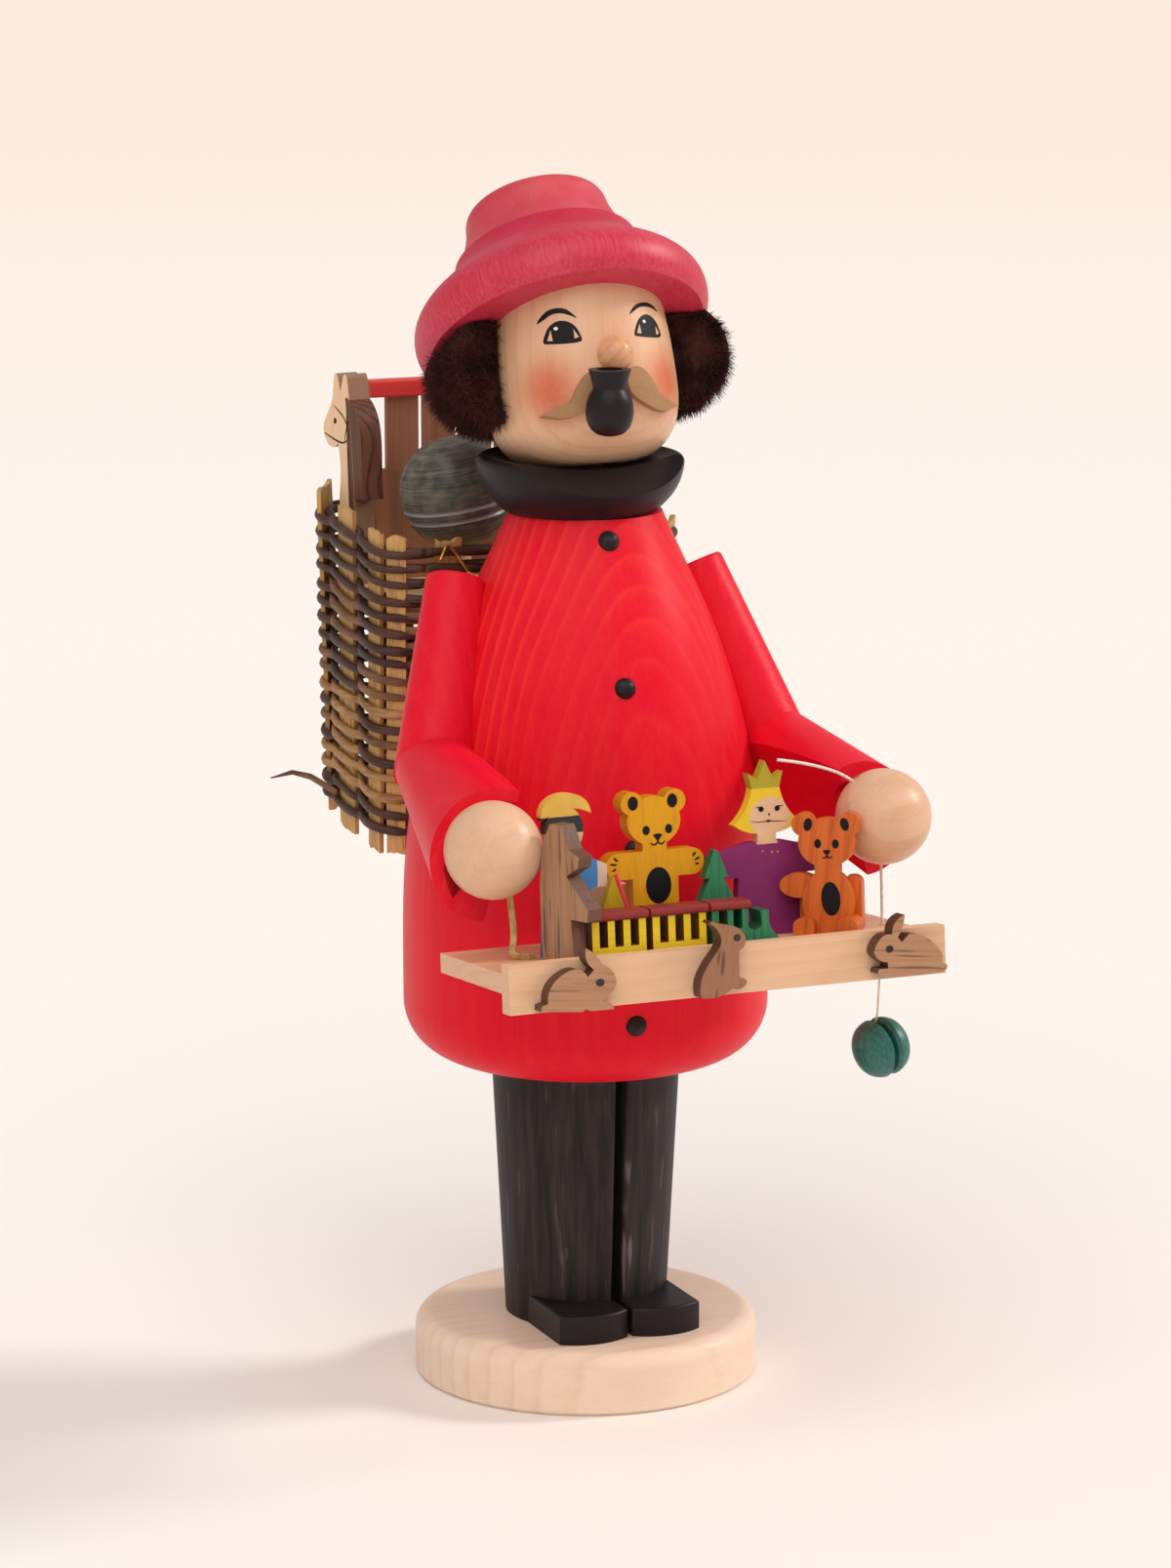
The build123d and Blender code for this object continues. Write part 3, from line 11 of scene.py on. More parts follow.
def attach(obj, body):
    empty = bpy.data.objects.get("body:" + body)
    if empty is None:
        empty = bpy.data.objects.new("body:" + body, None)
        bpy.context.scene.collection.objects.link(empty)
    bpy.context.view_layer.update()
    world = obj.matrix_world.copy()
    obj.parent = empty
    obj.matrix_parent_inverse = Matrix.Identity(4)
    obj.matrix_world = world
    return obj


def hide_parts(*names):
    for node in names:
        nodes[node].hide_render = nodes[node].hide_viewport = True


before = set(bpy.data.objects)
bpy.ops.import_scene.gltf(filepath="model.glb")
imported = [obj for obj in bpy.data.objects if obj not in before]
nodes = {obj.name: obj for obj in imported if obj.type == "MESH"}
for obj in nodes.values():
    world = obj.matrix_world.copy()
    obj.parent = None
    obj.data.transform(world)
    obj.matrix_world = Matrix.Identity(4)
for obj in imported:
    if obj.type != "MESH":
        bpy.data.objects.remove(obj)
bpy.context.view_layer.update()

# The photographer's table: a seamless warm white sheet, painted darker and warmer toward its far edge as shade where
# the light falls off, a soft lamp from the right that throws a long soft shadow to the left, and a wide fill from the
# front. The camera stands a little above the tray.
MM = 0.001
scene = bpy.context.scene
scene.view_settings.view_transform = "Standard"


def tint(red, green, blue):
    """A colour as it is seen on screen, 0 to 255, for a shader."""
    def linear(level):
        level /= 255
        return level / 12.92 if level <= 0.04045 else ((level + 0.055) / 1.055) ** 2.4
    return (linear(red), linear(green), linear(blue), 1.0)


class Tone:
    """A shader socket that takes part in sums. node() adds any other kind of node to the same material."""

    def __init__(self, tree, socket=None):
        self.tree = tree
        self.socket = socket

    def node(self, kind, settings=None, sockets=None, out=0):
        made = self.tree.nodes.new("ShaderNode" + kind)
        for key, value in (settings or {}).items():
            if key == "stops":
                ramp = made.color_ramp.elements
                while len(ramp) < len(value):
                    ramp.new(0.5)
                for stop, (place, level) in zip(ramp, value):
                    stop.position = place
                    stop.color = level if isinstance(level, tuple) else (level, level, level, 1.0)
            else:
                setattr(made, key, value)
        for key, value in (sockets or {}).items():
            if isinstance(value, Tone):
                self.tree.links.new(value.socket, made.inputs[key])
            else:
                made.inputs[key].default_value = value
        return Tone(self.tree, made.outputs[out])

    def also(self, out):
        return Tone(self.tree, self.socket.node.outputs[out])

    def feed(self, socket):
        self.tree.links.new(self.socket, socket)

    def sum(self, operation, first, second=0.0):
        return self.node("Math", {"operation": operation}, {0: first, 1: second})

    def __add__(self, other):
        return self.sum("ADD", self, other)

    __radd__ = __add__

    def __mul__(self, other):
        return self.sum("MULTIPLY", self, other)

    __rmul__ = __mul__

    def __sub__(self, other):
        return self.sum("SUBTRACT", self, other)

    def __rsub__(self, other):
        return self.sum("SUBTRACT", other, self)

    def __truediv__(self, other):
        return self.sum("DIVIDE", self, other)

    def __pow__(self, other):
        return self.sum("POWER", self, other)

    def __abs__(self):
        return self.sum("ABSOLUTE", self)

    def fraction(self):
        return self.sum("FRACT", self)

    def rise(self, low, high):
        """0 below low, 1 above high, smooth between."""
        return self.node("MapRange", {"interpolation_type": "SMOOTHSTEP"}, {0: self, 1: low, 2: high})

    def mix(self, first, second):
        """Colour from first to second as this value goes from 0 to 1."""
        return self.node("Mix", {"data_type": "RGBA"}, {0: self, 6: first, 7: second}, 2)

    def scaled(self, factors):
        return self.node("VectorMath", {"operation": "MULTIPLY"}, {0: self, 1: factors})

    def moved(self, by):
        return self.node("VectorMath", {"operation": "ADD"}, {0: self, 1: by})

    def noise(self, factors, detail=2.0, roughness=0.5):
        """Cloudy pattern with so many spots a metre along X, Y and Z, or one number for all three."""
        factors = factors if isinstance(factors, tuple) else (factors,) * 3
        return self.node("TexNoise", {}, {"Vector": self.scaled(factors), "Scale": 1.0, "Detail": detail,
                                          "Roughness": roughness})

    def bump(self, strength, depth):
        """The surface's normal with this value as relief, depth in millimetres."""
        return self.node("Bump", {}, {"Strength": strength, "Distance": depth * MM, "Height": self})


def new_finish(name, rough=0.5, coat=0.0, metal=0.0, gloss=0.22):
    """A material with its shader, and the place on the object to work from."""
    material = bpy.data.materials.new(name)
    material.use_nodes = True
    shader = material.node_tree.nodes["Principled BSDF"].inputs
    shader["Roughness"].default_value = rough
    shader["Coat Weight"].default_value = coat
    shader["Coat Roughness"].default_value = 0.22
    shader["Specular IOR Level"].default_value = gloss
    shader["Metallic"].default_value = metal
    place = Tone(material.node_tree).node("TexCoord", out=3)
    return material, shader, place


SHEET_RADIUS = 14.0
SHEET_SHADE_FADE = (0.4, 5.0)
sheet_paper, sheet_shader, sheet_place = new_finish("sheet_paper", rough=0.9, gloss=0.0)
# Painted shade: the sheet's colour turns darker and warmer from the middle outward, for light that falls off far away.
far = sheet_place.node("VectorMath", {"operation": "LENGTH"}, {0: sheet_place}, 1).rise(*SHEET_SHADE_FADE)
far.mix(tint(245, 240, 236), tint(243, 231, 221)).feed(sheet_shader["Base Color"])
sheet_mesh = bmesh.new()
bmesh.ops.create_circle(sheet_mesh, cap_ends=True, segments=96, radius=SHEET_RADIUS)
sheet_data = bpy.data.meshes.new("table_sheet")
sheet_mesh.to_mesh(sheet_data)
sheet_data.materials.append(sheet_paper)
table_sheet = bpy.data.objects.new("table_sheet", sheet_data)
scene.collection.objects.link(table_sheet)

ROOM_STRENGTH = 0.47
world = bpy.data.worlds.new("room")
scene.world = world
world.use_nodes = True
room_light = world.node_tree.nodes["Background"]
room_light.inputs["Color"].default_value = tint(255, 250, 246)
room_light.inputs["Strength"].default_value = ROOM_STRENGTH

LAMP_COLOUR = (1.0, 0.97, 0.94)


def lamp(name, toward, strength, spread):
    """A distant soft lamp that stands in the direction toward."""
    data = bpy.data.lights.new(name, "SUN")
    data.energy = strength
    data.angle = math.radians(spread)
    data.color = LAMP_COLOUR
    made = bpy.data.objects.new(name, data)
    made.rotation_euler = Vector(toward).to_track_quat("Z", "Y").to_euler()
    scene.collection.objects.link(made)


lamp("key_lamp", (0.85, -0.12, 0.52), 1.5, 13)
lamp("fill_lamp", (-0.4, -0.75, 1.2), 1.45, 60)

CAMERA_DIP = 11.31
CAMERA_TURN = -22.68
camera_data = bpy.data.cameras.new("camera")
camera_data.sensor_width = 36.0
camera_data.lens = 118.3
camera = bpy.data.objects.new("camera", camera_data)
camera.location = (-0.5170, -1.2371, 0.4286)
camera.rotation_euler = (math.radians(90 - CAMERA_DIP), 0, math.radians(CAMERA_TURN))
scene.collection.objects.link(camera)
scene.camera = camera


# Base disc: turned from a pale maple plank, edge rounded over, clear matt varnish. Growth rings run as long
# lines across its side and faint arches over its top.
def grain_turn(along):
    """Turns the grain's direction to Z."""
    axis = Vector(along).normalized()
    helper = Vector((1, 0, 0)) if abs(axis.x) < 0.8 else Vector((0, 1, 0))
    across = (helper - axis * helper.dot(axis)).normalized()
    return Matrix((across, axis.cross(across), axis))


CLEAR_REACH = 50.0
PORE_BROWN = tint(40, 26, 20)


def timber(name, pale, deep, heart, along=(0, 0, 1), ring=4.0, swirl=2.0, vein=0.5, fibre=0.3, fleck=0.0,
           rough=0.45, coat=0.0, bump=0.25, gloss=0.22, clear_from=None):
    """Sawn or turned wood: growth rings about the tree's heart line, cut by the surface, with fine fibres.
    Rings are faint below the height clear_from."""
    material, shader, place = new_finish(name, rough, coat, gloss=gloss)
    turn = grain_turn(along)
    heart = turn @ Vector(heart)
    spot = place.node("Mapping", {}, {"Vector": place, "Rotation": turn.to_euler()})
    drift = spot.noise((22, 22, 5), 2.0)
    drift_too = spot.moved((0.31, 0.17, 0.05)).noise((22, 22, 5), 2.0)
    split = spot.node("SeparateXYZ", {}, {0: spot})
    across = split - heart.x * MM + (drift - 0.5) * (2 * swirl * MM)
    deep_in = split.also(1) - heart.y * MM + (drift_too - 0.5) * (2 * swirl * MM)
    rings = (across * across + deep_in * deep_in) ** 0.5 / (ring * MM) + spot.noise((60, 60, 12), 1.0) * 0.5
    season = rings.node("ValToRGB", {"stops": [(0.0, 0.1), (0.55, 0.3), (0.86, 1.0), (1.0, 0.1)]},
                        {0: rings.fraction()})
    fibres = spot.noise((1500, 1500, 38), 3.0, 0.62)
    streaks = spot.noise((260, 260, 9), 2.0, 0.55)
    patch = spot.noise((17, 17, 8), 1.0).rise(0.40, 0.62)
    shown = 0.3 + patch * 0.7
    if clear_from:
        shown = shown * (0.2 + split.also(2).rise(clear_from * MM, (clear_from + CLEAR_REACH) * MM) * 0.8)
    depth = season * shown * vein + (fibres - 0.5) * fibre * 1.6 + (streaks - 0.5) * fibre * 1.5
    colour = depth.rise(-0.25, 1.0).mix(pale, deep)
    if fleck:
        pores = spot.moved((0.1, 0.2, 0.3)).noise((900, 900, 55), 1.0).rise(0.60, 0.70)
        colour = (pores * fleck).mix(colour, PORE_BROWN)
    colour.feed(shader["Base Color"])
    (rough + (fibres - 0.5) * 0.22).feed(shader["Roughness"])
    relief = fibres * 0.7 + season * 0.4
    relief.bump(bump, 0.25).feed(shader["Normal"])
    return material


def dress(material, *names):
    """Give CAD pieces a finish."""
    for name in names:
        data = nodes[name].data
        data.materials.clear()
        data.materials.append(material)


maple_base = timber("maple_base", tint(244, 220, 198), tint(222, 186, 152), (0, 160, 0), (1, 0, 0), ring=5.5,
                    swirl=2.5, vein=0.32, fibre=0.3, rough=0.42, bump=0.12)
dress(maple_base, "base_disc")

# Trouser legs and shoes: one turned cone sawn in two, stained black so that the open grain still shows as
# grey streaks. The shoes are fretsawn blocks glued to the disc, stained the same.
leg_stain, leg_shader, leg_place = new_finish("leg_stain", rough=0.55)
leg_grain = leg_place.noise((420, 420, 24), 3.0, 0.6)
leg_scuff = leg_place.moved((0.2, 0.1, 0.4)).noise((330, 330, 42), 2.0).rise(0.60, 0.74)
leg_band = leg_place.noise((90, 90, 6), 2.0)
leg_tone = leg_grain.rise(0.3, 0.75).mix(tint(28, 23, 25), tint(60, 50, 50))
(leg_scuff * leg_band.rise(0.36, 0.62) * 0.6).mix(leg_tone, tint(128, 112, 106)).feed(leg_shader["Base Color"])
(0.42 + leg_grain * 0.3).feed(leg_shader["Roughness"])
leg_relief = leg_grain + leg_scuff * 0.5
leg_relief.bump(0.35, 0.3).feed(leg_shader["Normal"])
dress(leg_stain, "leg_right", "leg_left")

black_stain = timber("black_stain", tint(32, 25, 28), tint(22, 17, 20), (0, 60, 0), (0, 1, 0.1), ring=3.0, vein=0.4,
                     fibre=0.4, rough=0.42, bump=0.2)
dress(black_stain, "shoe_right", "shoe_left")

# Leg plate, dowels, dish and cone: plain beech plate and pegs inside the figure, a pressed tin dish with a
# pressed charcoal cone.
beech = timber("beech", tint(226, 190, 150), tint(200, 158, 116), (30, 90, 0), (1, 0, 0), ring=3.0, fleck=0.4,
               rough=0.6)
dress(beech, "leg_plate", "leg_dowels", "arm_dowels", "tray_dowels", "neck_peg")


def mottled(name, first, second, grain, detail=3.0, fine=0.5, blend=(0.3, 0.7), rough=0.5, vary=0.0, relief=None,
            metal=0.0):
    """A finish that drifts between two colours, rougher in the second by vary, with relief of (strength, depth)."""
    material, shader, place = new_finish(name, rough, metal=metal)
    spots = place.noise(grain, detail, fine)
    (spots.rise(*blend) if blend else spots).mix(first, second).feed(shader["Base Color"])
    if vary:
        (rough + spots * vary).feed(shader["Roughness"])
    if relief:
        spots.bump(*relief).feed(shader["Normal"])
    return material


dress(mottled("tin", tint(176, 170, 160), tint(96, 88, 80), 180, 4.0, blend=(0.35, 0.7), rough=0.25, vary=0.35,
              metal=1.0), "incense_dish")
dress(mottled("charcoal", tint(38, 32, 30), tint(84, 72, 64), 900, 5.0, 0.7, None, 0.95, relief=(0.6, 0.4)),
      "incense_cone")

# Coat: one hollow turned piece, stained red so that the growth rings show as lighter arches on the front,
# under a satin varnish.
coat_red = timber("coat_red", tint(228, 0, 40), tint(246, 62, 52), (4, -118, 0), (0.02, 0.02, 1), ring=3.6, swirl=3.6,
                  vein=0.6, fibre=0.3, rough=0.42, bump=0.1, gloss=0.14, clear_from=130)
dress(coat_red, "coat")

# Coat buttons: domed nails driven into the coat's front one above the other, their black finish a little worn on
# the domes.
dress(mottled("button_black", tint(28, 24, 26), tint(54, 47, 48), 700, blend=(0.4, 0.8), rough=0.3, vary=0.3,
              relief=(0.2, 0.1)), "coat_buttons")

# Collar and pipe stem: turned hardwood stained black, satin, with faint fibres. The collar is glued on top of the
# coat, and the stem is a bored peg in the mouth.
dress(black_stain, "collar", "pipe_stem")


# Head: a turned lime ball set back on the collar and glued on its neck peg, under a clear varnish. The rouge is
# sprayed on both cheeks.
def shift(x, y, z):
    """A move in millimetres."""
    return Matrix.Translation(Vector((x, y, z)) * MM)


def spin(angle, axis):
    """A turn in degrees about X, Y or Z."""
    return Matrix.Rotation(math.radians(angle), 4, axis)


ROUGE = tint(208, 84, 46)
ROUGE_REACH = 12.8
CHEEKS = ((-16.2, -19.8, 18.6), (16.6, -19.4, 18.6))
head_place = shift(0, -3, 245.5) @ spin(-2, "Z") @ spin(-15, "X") @ spin(-1.5, "Y")
lime_head = timber("lime_head", tint(232, 186, 148), tint(210, 150, 110), (-8, 40, 0), (0.03, 0.26, 1), ring=3.4,
                   swirl=1.5, vein=0.3, fibre=0.35, rough=0.38, bump=0.12, gloss=0.55)
head_shader = lime_head.node_tree.nodes["Principled BSDF"].inputs
head_spot = Tone(lime_head.node_tree).node("TexCoord", out=3)
bare_head = Tone(lime_head.node_tree, head_shader["Base Color"].links[0].from_socket)
rouge = None
for cheek in CHEEKS:
    centre = head_place @ (Vector(cheek) * MM)
    away = head_spot.node("VectorMath", {"operation": "DISTANCE"}, {0: head_spot, 1: centre}, 1)
    spray = 1 - away.rise(MM, ROUGE_REACH * MM)
    rouge = spray if rouge is None else rouge + spray
(rouge * (0.66 + head_spot.noise(500, 2.0) * 0.3)).mix(bare_head, ROUGE).feed(head_shader["Base Color"])
dress(lime_head, "head")


# Eyes and brows: black paint put on the varnished head with a fine brush. Two pale slits are left bare in each eye,
# and each eye has a white dot that is a painted highlight, the glint of the lamp on the glossy black.
def between(before, start, end, after, share):
    """A point on the smooth line through four points, at a share of the way from start to end."""
    return 0.5 * (2 * start + (end - before) * share + (2 * before - 5 * start + 4 * end - after) * share * share
                  + (3 * start - before - 3 * end + after) * share ** 3)


def loop(points, steps=5):
    """A smooth closed outline through the points."""
    ring = []
    for index in range(len(points)):
        four = [Vector(points[(index + step) % len(points)]) for step in (-1, 0, 1, 2)]
        ring += [between(*four, step / steps) for step in range(steps)]
    return ring


def eased(points, steps=4):
    """A smooth open line through the points."""
    last = len(points) - 1
    line = []
    for index in range(last):
        four = [Vector(points[min(max(index + step, 0), last)]) for step in (-1, 0, 1, 2)]
        line += [between(*four, step / steps) for step in range(steps)]
    return line + [Vector(points[last])]


def oval(x, z, half_width, half_height, lean=0.0, count=20):
    """An oval outline, leaning by an angle in degrees."""
    lean = math.radians(lean)
    points = []
    for step in range(count):
        angle = 2 * math.pi * step / count
        across, up = half_width * math.cos(angle), half_height * math.sin(angle)
        points.append(Vector((x + across * math.cos(lean) - up * math.sin(lean),
                              z + across * math.sin(lean) + up * math.cos(lean))))
    return points


STROKE_TIP = 0.45


def stroke(points, width, steps=6):
    """A brush stroke along the points, thinner at both ends."""
    line = eased(points, steps)
    left, right = [], []
    for index, point in enumerate(line):
        along = (line[min(index + 1, len(line) - 1)] - line[max(index - 1, 0)]).normalized()
        share = index / (len(line) - 1)
        half = width / 2 * (STROKE_TIP + (1 - STROKE_TIP) * math.sin(math.pi * share))
        side = Vector((-along.y, along.x)) * half
        left.append(point + side)
        right.append(point - side)
    return left + right[::-1]


def put(name, data, finish, body, slot, *stands_for):
    """Set a made piece on its body, with its finish, in place of the CAD pieces that it stands for."""
    data.materials.append(finish)
    made = bpy.data.objects.new(name, data)
    scene.collection.objects.link(made)
    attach(made, body)
    if stands_for:
        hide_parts(*stands_for)
    return made


def mesh_of(name, points, faces):
    """A mesh from points in metres."""
    data = bpy.data.meshes.new(name)
    data.from_pydata([tuple(point) for point in points], [], faces)
    return data


FILM_LIFT = 0.05
FILM_SINK = 0.03


def film(name, outlines, lay, finish, slot, cuts=0, lift=FILM_LIFT):
    """A thin film of paint on the figure, in the given outlines, laid by lay(x, z, height above the surface)."""
    flat = bmesh.new()
    for outline in outlines:
        flat.faces.new([flat.verts.new((point[0], 0, point[1])) for point in outline])
    bmesh.ops.triangulate(flat, faces=flat.faces[:])
    if cuts:
        bmesh.ops.subdivide_edges(flat, edges=flat.edges[:], cuts=cuts, use_grid_fill=True)
    flat.verts.index_update()
    count = len(flat.verts)
    points = [lay(corner.co.x, corner.co.z, height) for height in (lift, -FILM_SINK) for corner in flat.verts]
    faces = []
    for face in flat.faces:
        corners = [corner.index for corner in face.verts]
        faces.append(corners)
        faces.append([index + count for index in reversed(corners)])
    for edge in flat.edges:
        if edge.is_boundary:
            start, end = (corner.index for corner in edge.verts)
            faces.append([start, end, end + count, start + count])
    data = mesh_of(name, points, faces)
    closed = bmesh.new()
    closed.from_mesh(data)
    bmesh.ops.recalc_face_normals(closed, faces=closed.faces[:])
    closed.to_mesh(data)
    put(name, data, finish, "figure", slot)


def brushed(name, colour, shade, rough=0.45):
    """Brushed paint: slightly uneven in tone and gloss."""
    material, shader, place = new_finish(name, rough)
    patches = place.noise(420, 3.0)
    strokes = place.noise((1800, 1800, 160), 2.0)
    (patches * 0.6 + strokes * 0.4).rise(0.3, 0.75).mix(colour, shade).feed(shader["Base Color"])
    (rough - 0.1 + patches * 0.2).feed(shader["Roughness"])
    strokes.bump(0.12, 0.1).feed(shader["Normal"])
    return material


def surface(name):
    """Search tree over a CAD piece."""
    data = nodes[name].data
    return BVHTree.FromPolygons([v.co for v in data.vertices], [p.vertices for p in data.polygons])


head_skin = surface("head")
head_forward = head_place.to_3x3() @ Vector((0, 1, 0))


def on_head(x, z, height):
    start = head_place @ (Vector((x, -60, z)) * MM)
    hit, normal, _, _ = head_skin.ray_cast(start, head_forward)
    return hit + normal * height * MM


black_paint = brushed("black_paint", tint(12, 9, 11), tint(24, 19, 21), 0.5)
bare_wood = brushed("bare_wood", tint(230, 186, 148), tint(220, 172, 132), 0.45)
painted_glint_white = brushed("painted_glint_white", tint(246, 242, 236), tint(232, 226, 216))
eye_right = loop([(-15.95, 30.8), (-15.4, 32.9), (-14.2, 34.9), (-12.3, 35.95), (-10.5, 35.8), (-8.9, 34.8),
                  (-7.8, 33.1), (-7.15, 30.5), (-8.2, 29.9), (-11.5, 29.9), (-14.6, 30.3)])
eye_left = loop([(7.5, 30.8), (8.5, 33.4), (10.0, 35.3), (12.0, 36.2), (14.0, 35.8), (15.6, 34.4), (16.5, 32.6),
                 (16.8, 30.9), (15.6, 30.2), (12.0, 30.1), (9.0, 30.3)])
brow_right = loop([(-16.7, 36.0), (-15.6, 37.8), (-13.9, 39.1), (-11.8, 39.4), (-9.7, 38.7), (-7.7, 36.3),
                   (-9.4, 37.2), (-11.5, 38.0), (-13.5, 37.8), (-15.0, 36.9)])
brow_left = loop([(6.9, 36.2), (8.5, 38.2), (10.7, 39.2), (13.4, 39.4), (15.5, 38.7), (17.0, 37.2), (14.3, 38.2),
                  (10.9, 38.2), (8.7, 37.2)])
film("face_lines", [eye_right, eye_left, brow_right, brow_left], on_head, black_paint, "black_wood", 2, 0.07)
slits = [[(-15.1, 31.2), (-14.05, 33.9), (-13.9, 31.0)], [(-8.85, 33.4), (-7.75, 31.2), (-8.9, 30.9)],
         [(8.3, 31.2), (9.5, 33.6), (9.75, 31.1)], [(15.1, 33.2), (16.1, 31.3), (14.9, 30.9)]]
film("eye_slits", slits, on_head, bare_wood, "pale_wood", 1, 0.11)
# Painted highlight: one small white glint dot on each eye.
film("eye_glints", [oval(-12.85, 34.1, 0.5, 0.45), oval(11.2, 34.3, 0.5, 0.45)], on_head, painted_glint_white, "pale_wood", 1,
     0.13)

# Nose: a turned ball peg of the same lime wood, glued into a hole in the head. Its end grain is to the front, so its
# rings show.
nose_wood = timber("nose_wood", tint(224, 168, 126), tint(196, 130, 88), (2, -40, 268), (0.1, 1, 0.25), ring=2.2,
                   vein=0.6, fibre=0.3, rough=0.35, coat=0.25)
dress(nose_wood, "nose")

# Moustache: two carved halves of brown limewood, hollowed to lie on the curve of the face and glued on under the
# nose. Left matt.
moustache_wood = timber("moustache_wood", tint(176, 134, 96), tint(146, 106, 72), (0, 60, 200), (1, 0, 0.1), ring=2.6,
                        vein=0.12, fibre=0.5, rough=0.6)
dress(moustache_wood, "moustache")

# Hair: a strip of dark brown plush glued round the head under the hat. A backing with short dense pile that
# leans down and out.
plush, plush_shader, plush_place = new_finish("plush", rough=0.85, gloss=0.15)
pile_tone = plush_place.noise(140, 3.0)
pile_tip = plush_place.noise(1600, 1.0)
(pile_tone.rise(0.35, 0.65) * 0.6 + pile_tip * 0.4).mix(tint(28, 11, 12), tint(84, 46, 38)).feed(
    plush_shader["Base Color"])
plush_shader["Sheen Weight"].default_value = 0.15
plush_shader["Sheen Roughness"].default_value = 0.4
plush_shader["Sheen Tint"].default_value = tint(170, 120, 100)
hair_data = nodes["hair"].data
hat_skin = surface("hat")
PILE_COUNT = 26000
PILE_LENGTH = 4.9
PILE_WIDTH = 0.26
PILE_ROOT = 3.0
PILE_BEND = 0.16
PILE_SWAY = 0.2
PILE_DROP = 0.2
TUFT_LEAN = 0.6
TUFTS_PER_METRE = 190
HEAD_ROOM = 0.9
HAT_ROOM = 0.7
BACKING_INSET = 1.5
draw = np.random.default_rng(7)
noise.seed_set(7)
hair_data.calc_loop_triangles()
hair_points = np.array([v.co for v in hair_data.vertices])
hair_faces = np.array([t.vertices for t in hair_data.loop_triangles])
corner_a, corner_b, corner_c = (hair_points[hair_faces[:, k]] for k in range(3))
face_cross = np.cross(corner_b - corner_a, corner_c - corner_a)
face_size = np.linalg.norm(face_cross, axis=1)
picked = draw.choice(len(face_size), PILE_COUNT, p=face_size / face_size.sum())
share_b, share_c = draw.random(PILE_COUNT), draw.random(PILE_COUNT)
folded = share_b + share_c > 1
share_b[folded], share_c[folded] = 1 - share_b[folded], 1 - share_c[folded]
roots = (corner_a[picked] + (corner_b - corner_a)[picked] * share_b[:, None]
         + (corner_c - corner_a)[picked] * share_c[:, None])
outward = face_cross[picked] / face_size[picked][:, None]
pile_points, pile_faces = [], []
for root, normal, sway, reach in zip(roots, outward, draw.normal(0, 1, (PILE_COUNT, 3)), draw.random(PILE_COUNT)):
    spot = Vector(root)
    if head_skin.find_nearest(spot)[3] < HEAD_ROOM * MM or hat_skin.find_nearest(spot)[3] < HAT_ROOM * MM:
        continue
    tuft = noise.noise_vector(spot * TUFTS_PER_METRE)
    lean = (Vector(normal) + tuft * TUFT_LEAN + Vector(sway) * PILE_SWAY - Vector((0, 0, PILE_DROP))).normalized()
    length = PILE_LENGTH * (0.6 + 0.5 * reach) * MM
    start = spot - Vector(normal) * PILE_ROOT * MM
    side = lean.cross(Vector((0.3, 0.2, 1))).normalized() * PILE_WIDTH * MM
    other = lean.cross(side).normalized() * PILE_WIDTH * MM
    bend = Vector((0, 0, -PILE_BEND)) * length + Vector(sway) * 0.05 * length
    first = len(pile_points)
    for share, width in ((0.0, 1.0), (0.6, 0.7), (1.0, 0.12)):
        middle = start + lean * length * share + bend * share * share
        for angle in (0, 2.094, 4.189):
            pile_points.append(middle + (side * math.cos(angle) + other * math.sin(angle)) * width * 0.5)
    for level in (0, 3):
        for step in range(3):
            low, next_low = first + level + step, first + level + (step + 1) % 3
            pile_faces.append((low, next_low, next_low + 3, low + 3))
    pile_faces.append((first + 6, first + 7, first + 8))
    pile_faces.append((first + 2, first + 1, first))
backing = len(pile_points)
hair_normals = np.array([v.normal for v in hair_data.vertices])
pile_points += [Vector(p - n * BACKING_INSET * MM) for p, n in zip(hair_points, hair_normals)]
pile_faces += [tuple(int(k) + backing for k in face) for face in hair_faces]
put("plush_hair", mesh_of("plush_hair", pile_points, pile_faces), plush, "figure", "fur", "hair")


# Hat: turned in one piece from a plank, with a rolled brim, a wide band and a crown with hollowed sides, and glued on
# well back. Stained crimson over open grain, under a satin varnish.
SHARP_EDGE = 38


def turned(name, outline, place, finish, slot, node, turns=96):
    """A turned piece of the figure: an outline of (radius, height) from axis to axis, about Z of its place."""
    points = [place @ (Vector((0, 0, outline[0][1])) * MM), place @ (Vector((0, 0, outline[-1][1])) * MM)]
    faces = []
    for radius, height in outline[1:-1]:
        for step in range(turns):
            angle = 2 * math.pi * step / turns
            points.append(place @ (Vector((radius * math.cos(angle), radius * math.sin(angle), height)) * MM))
    rings = len(outline) - 2
    for step in range(turns):
        after = (step + 1) % turns
        faces.append((0, 2 + after, 2 + step))
        for ring in range(rings - 1):
            here, above = 2 + ring * turns, 2 + (ring + 1) * turns
            faces.append((here + step, here + after, above + after, above + step))
        top = 2 + (rings - 1) * turns
        faces.append((top + step, top + after, 1))
    data = mesh_of(name, points, faces)
    data.polygons.foreach_set("use_smooth", [True] * len(faces))
    data.set_sharp_from_angle(angle=math.radians(SHARP_EDGE))
    put(name, data, finish, "figure", slot, node)


hat_place = shift(-2.0, 11.9, 283.2) @ spin(-36, "X") @ spin(0.6, "Y")
BAND_FOOT, BAND_TOP = 12.6, 18.8
hat_outline = [(0, -5.4), (20.0, -5.4), (27.3, -5.7), (34.0, -7.2)]
hat_outline += eased([(36.8, -6.9), (38.7, -4.2), (39.3, -0.6), (38.6, 2.8), (36.6, 5.8), (33.4, 8.6), (30.2, 10.8)])
hat_outline += eased([(28.4, BAND_FOOT), (26.2, 15.2), (24.5, BAND_TOP)])
hat_outline += eased([(23.9, BAND_TOP + 0.3), (21.8, 22.0), (20.3, 25.4), (19.4, 28.6), (18.9, 31.4), (17.6, 33.3),
                      (14.8, 34.3)])
hat_outline += [(6.0, 34.6), (0, 34.6)]

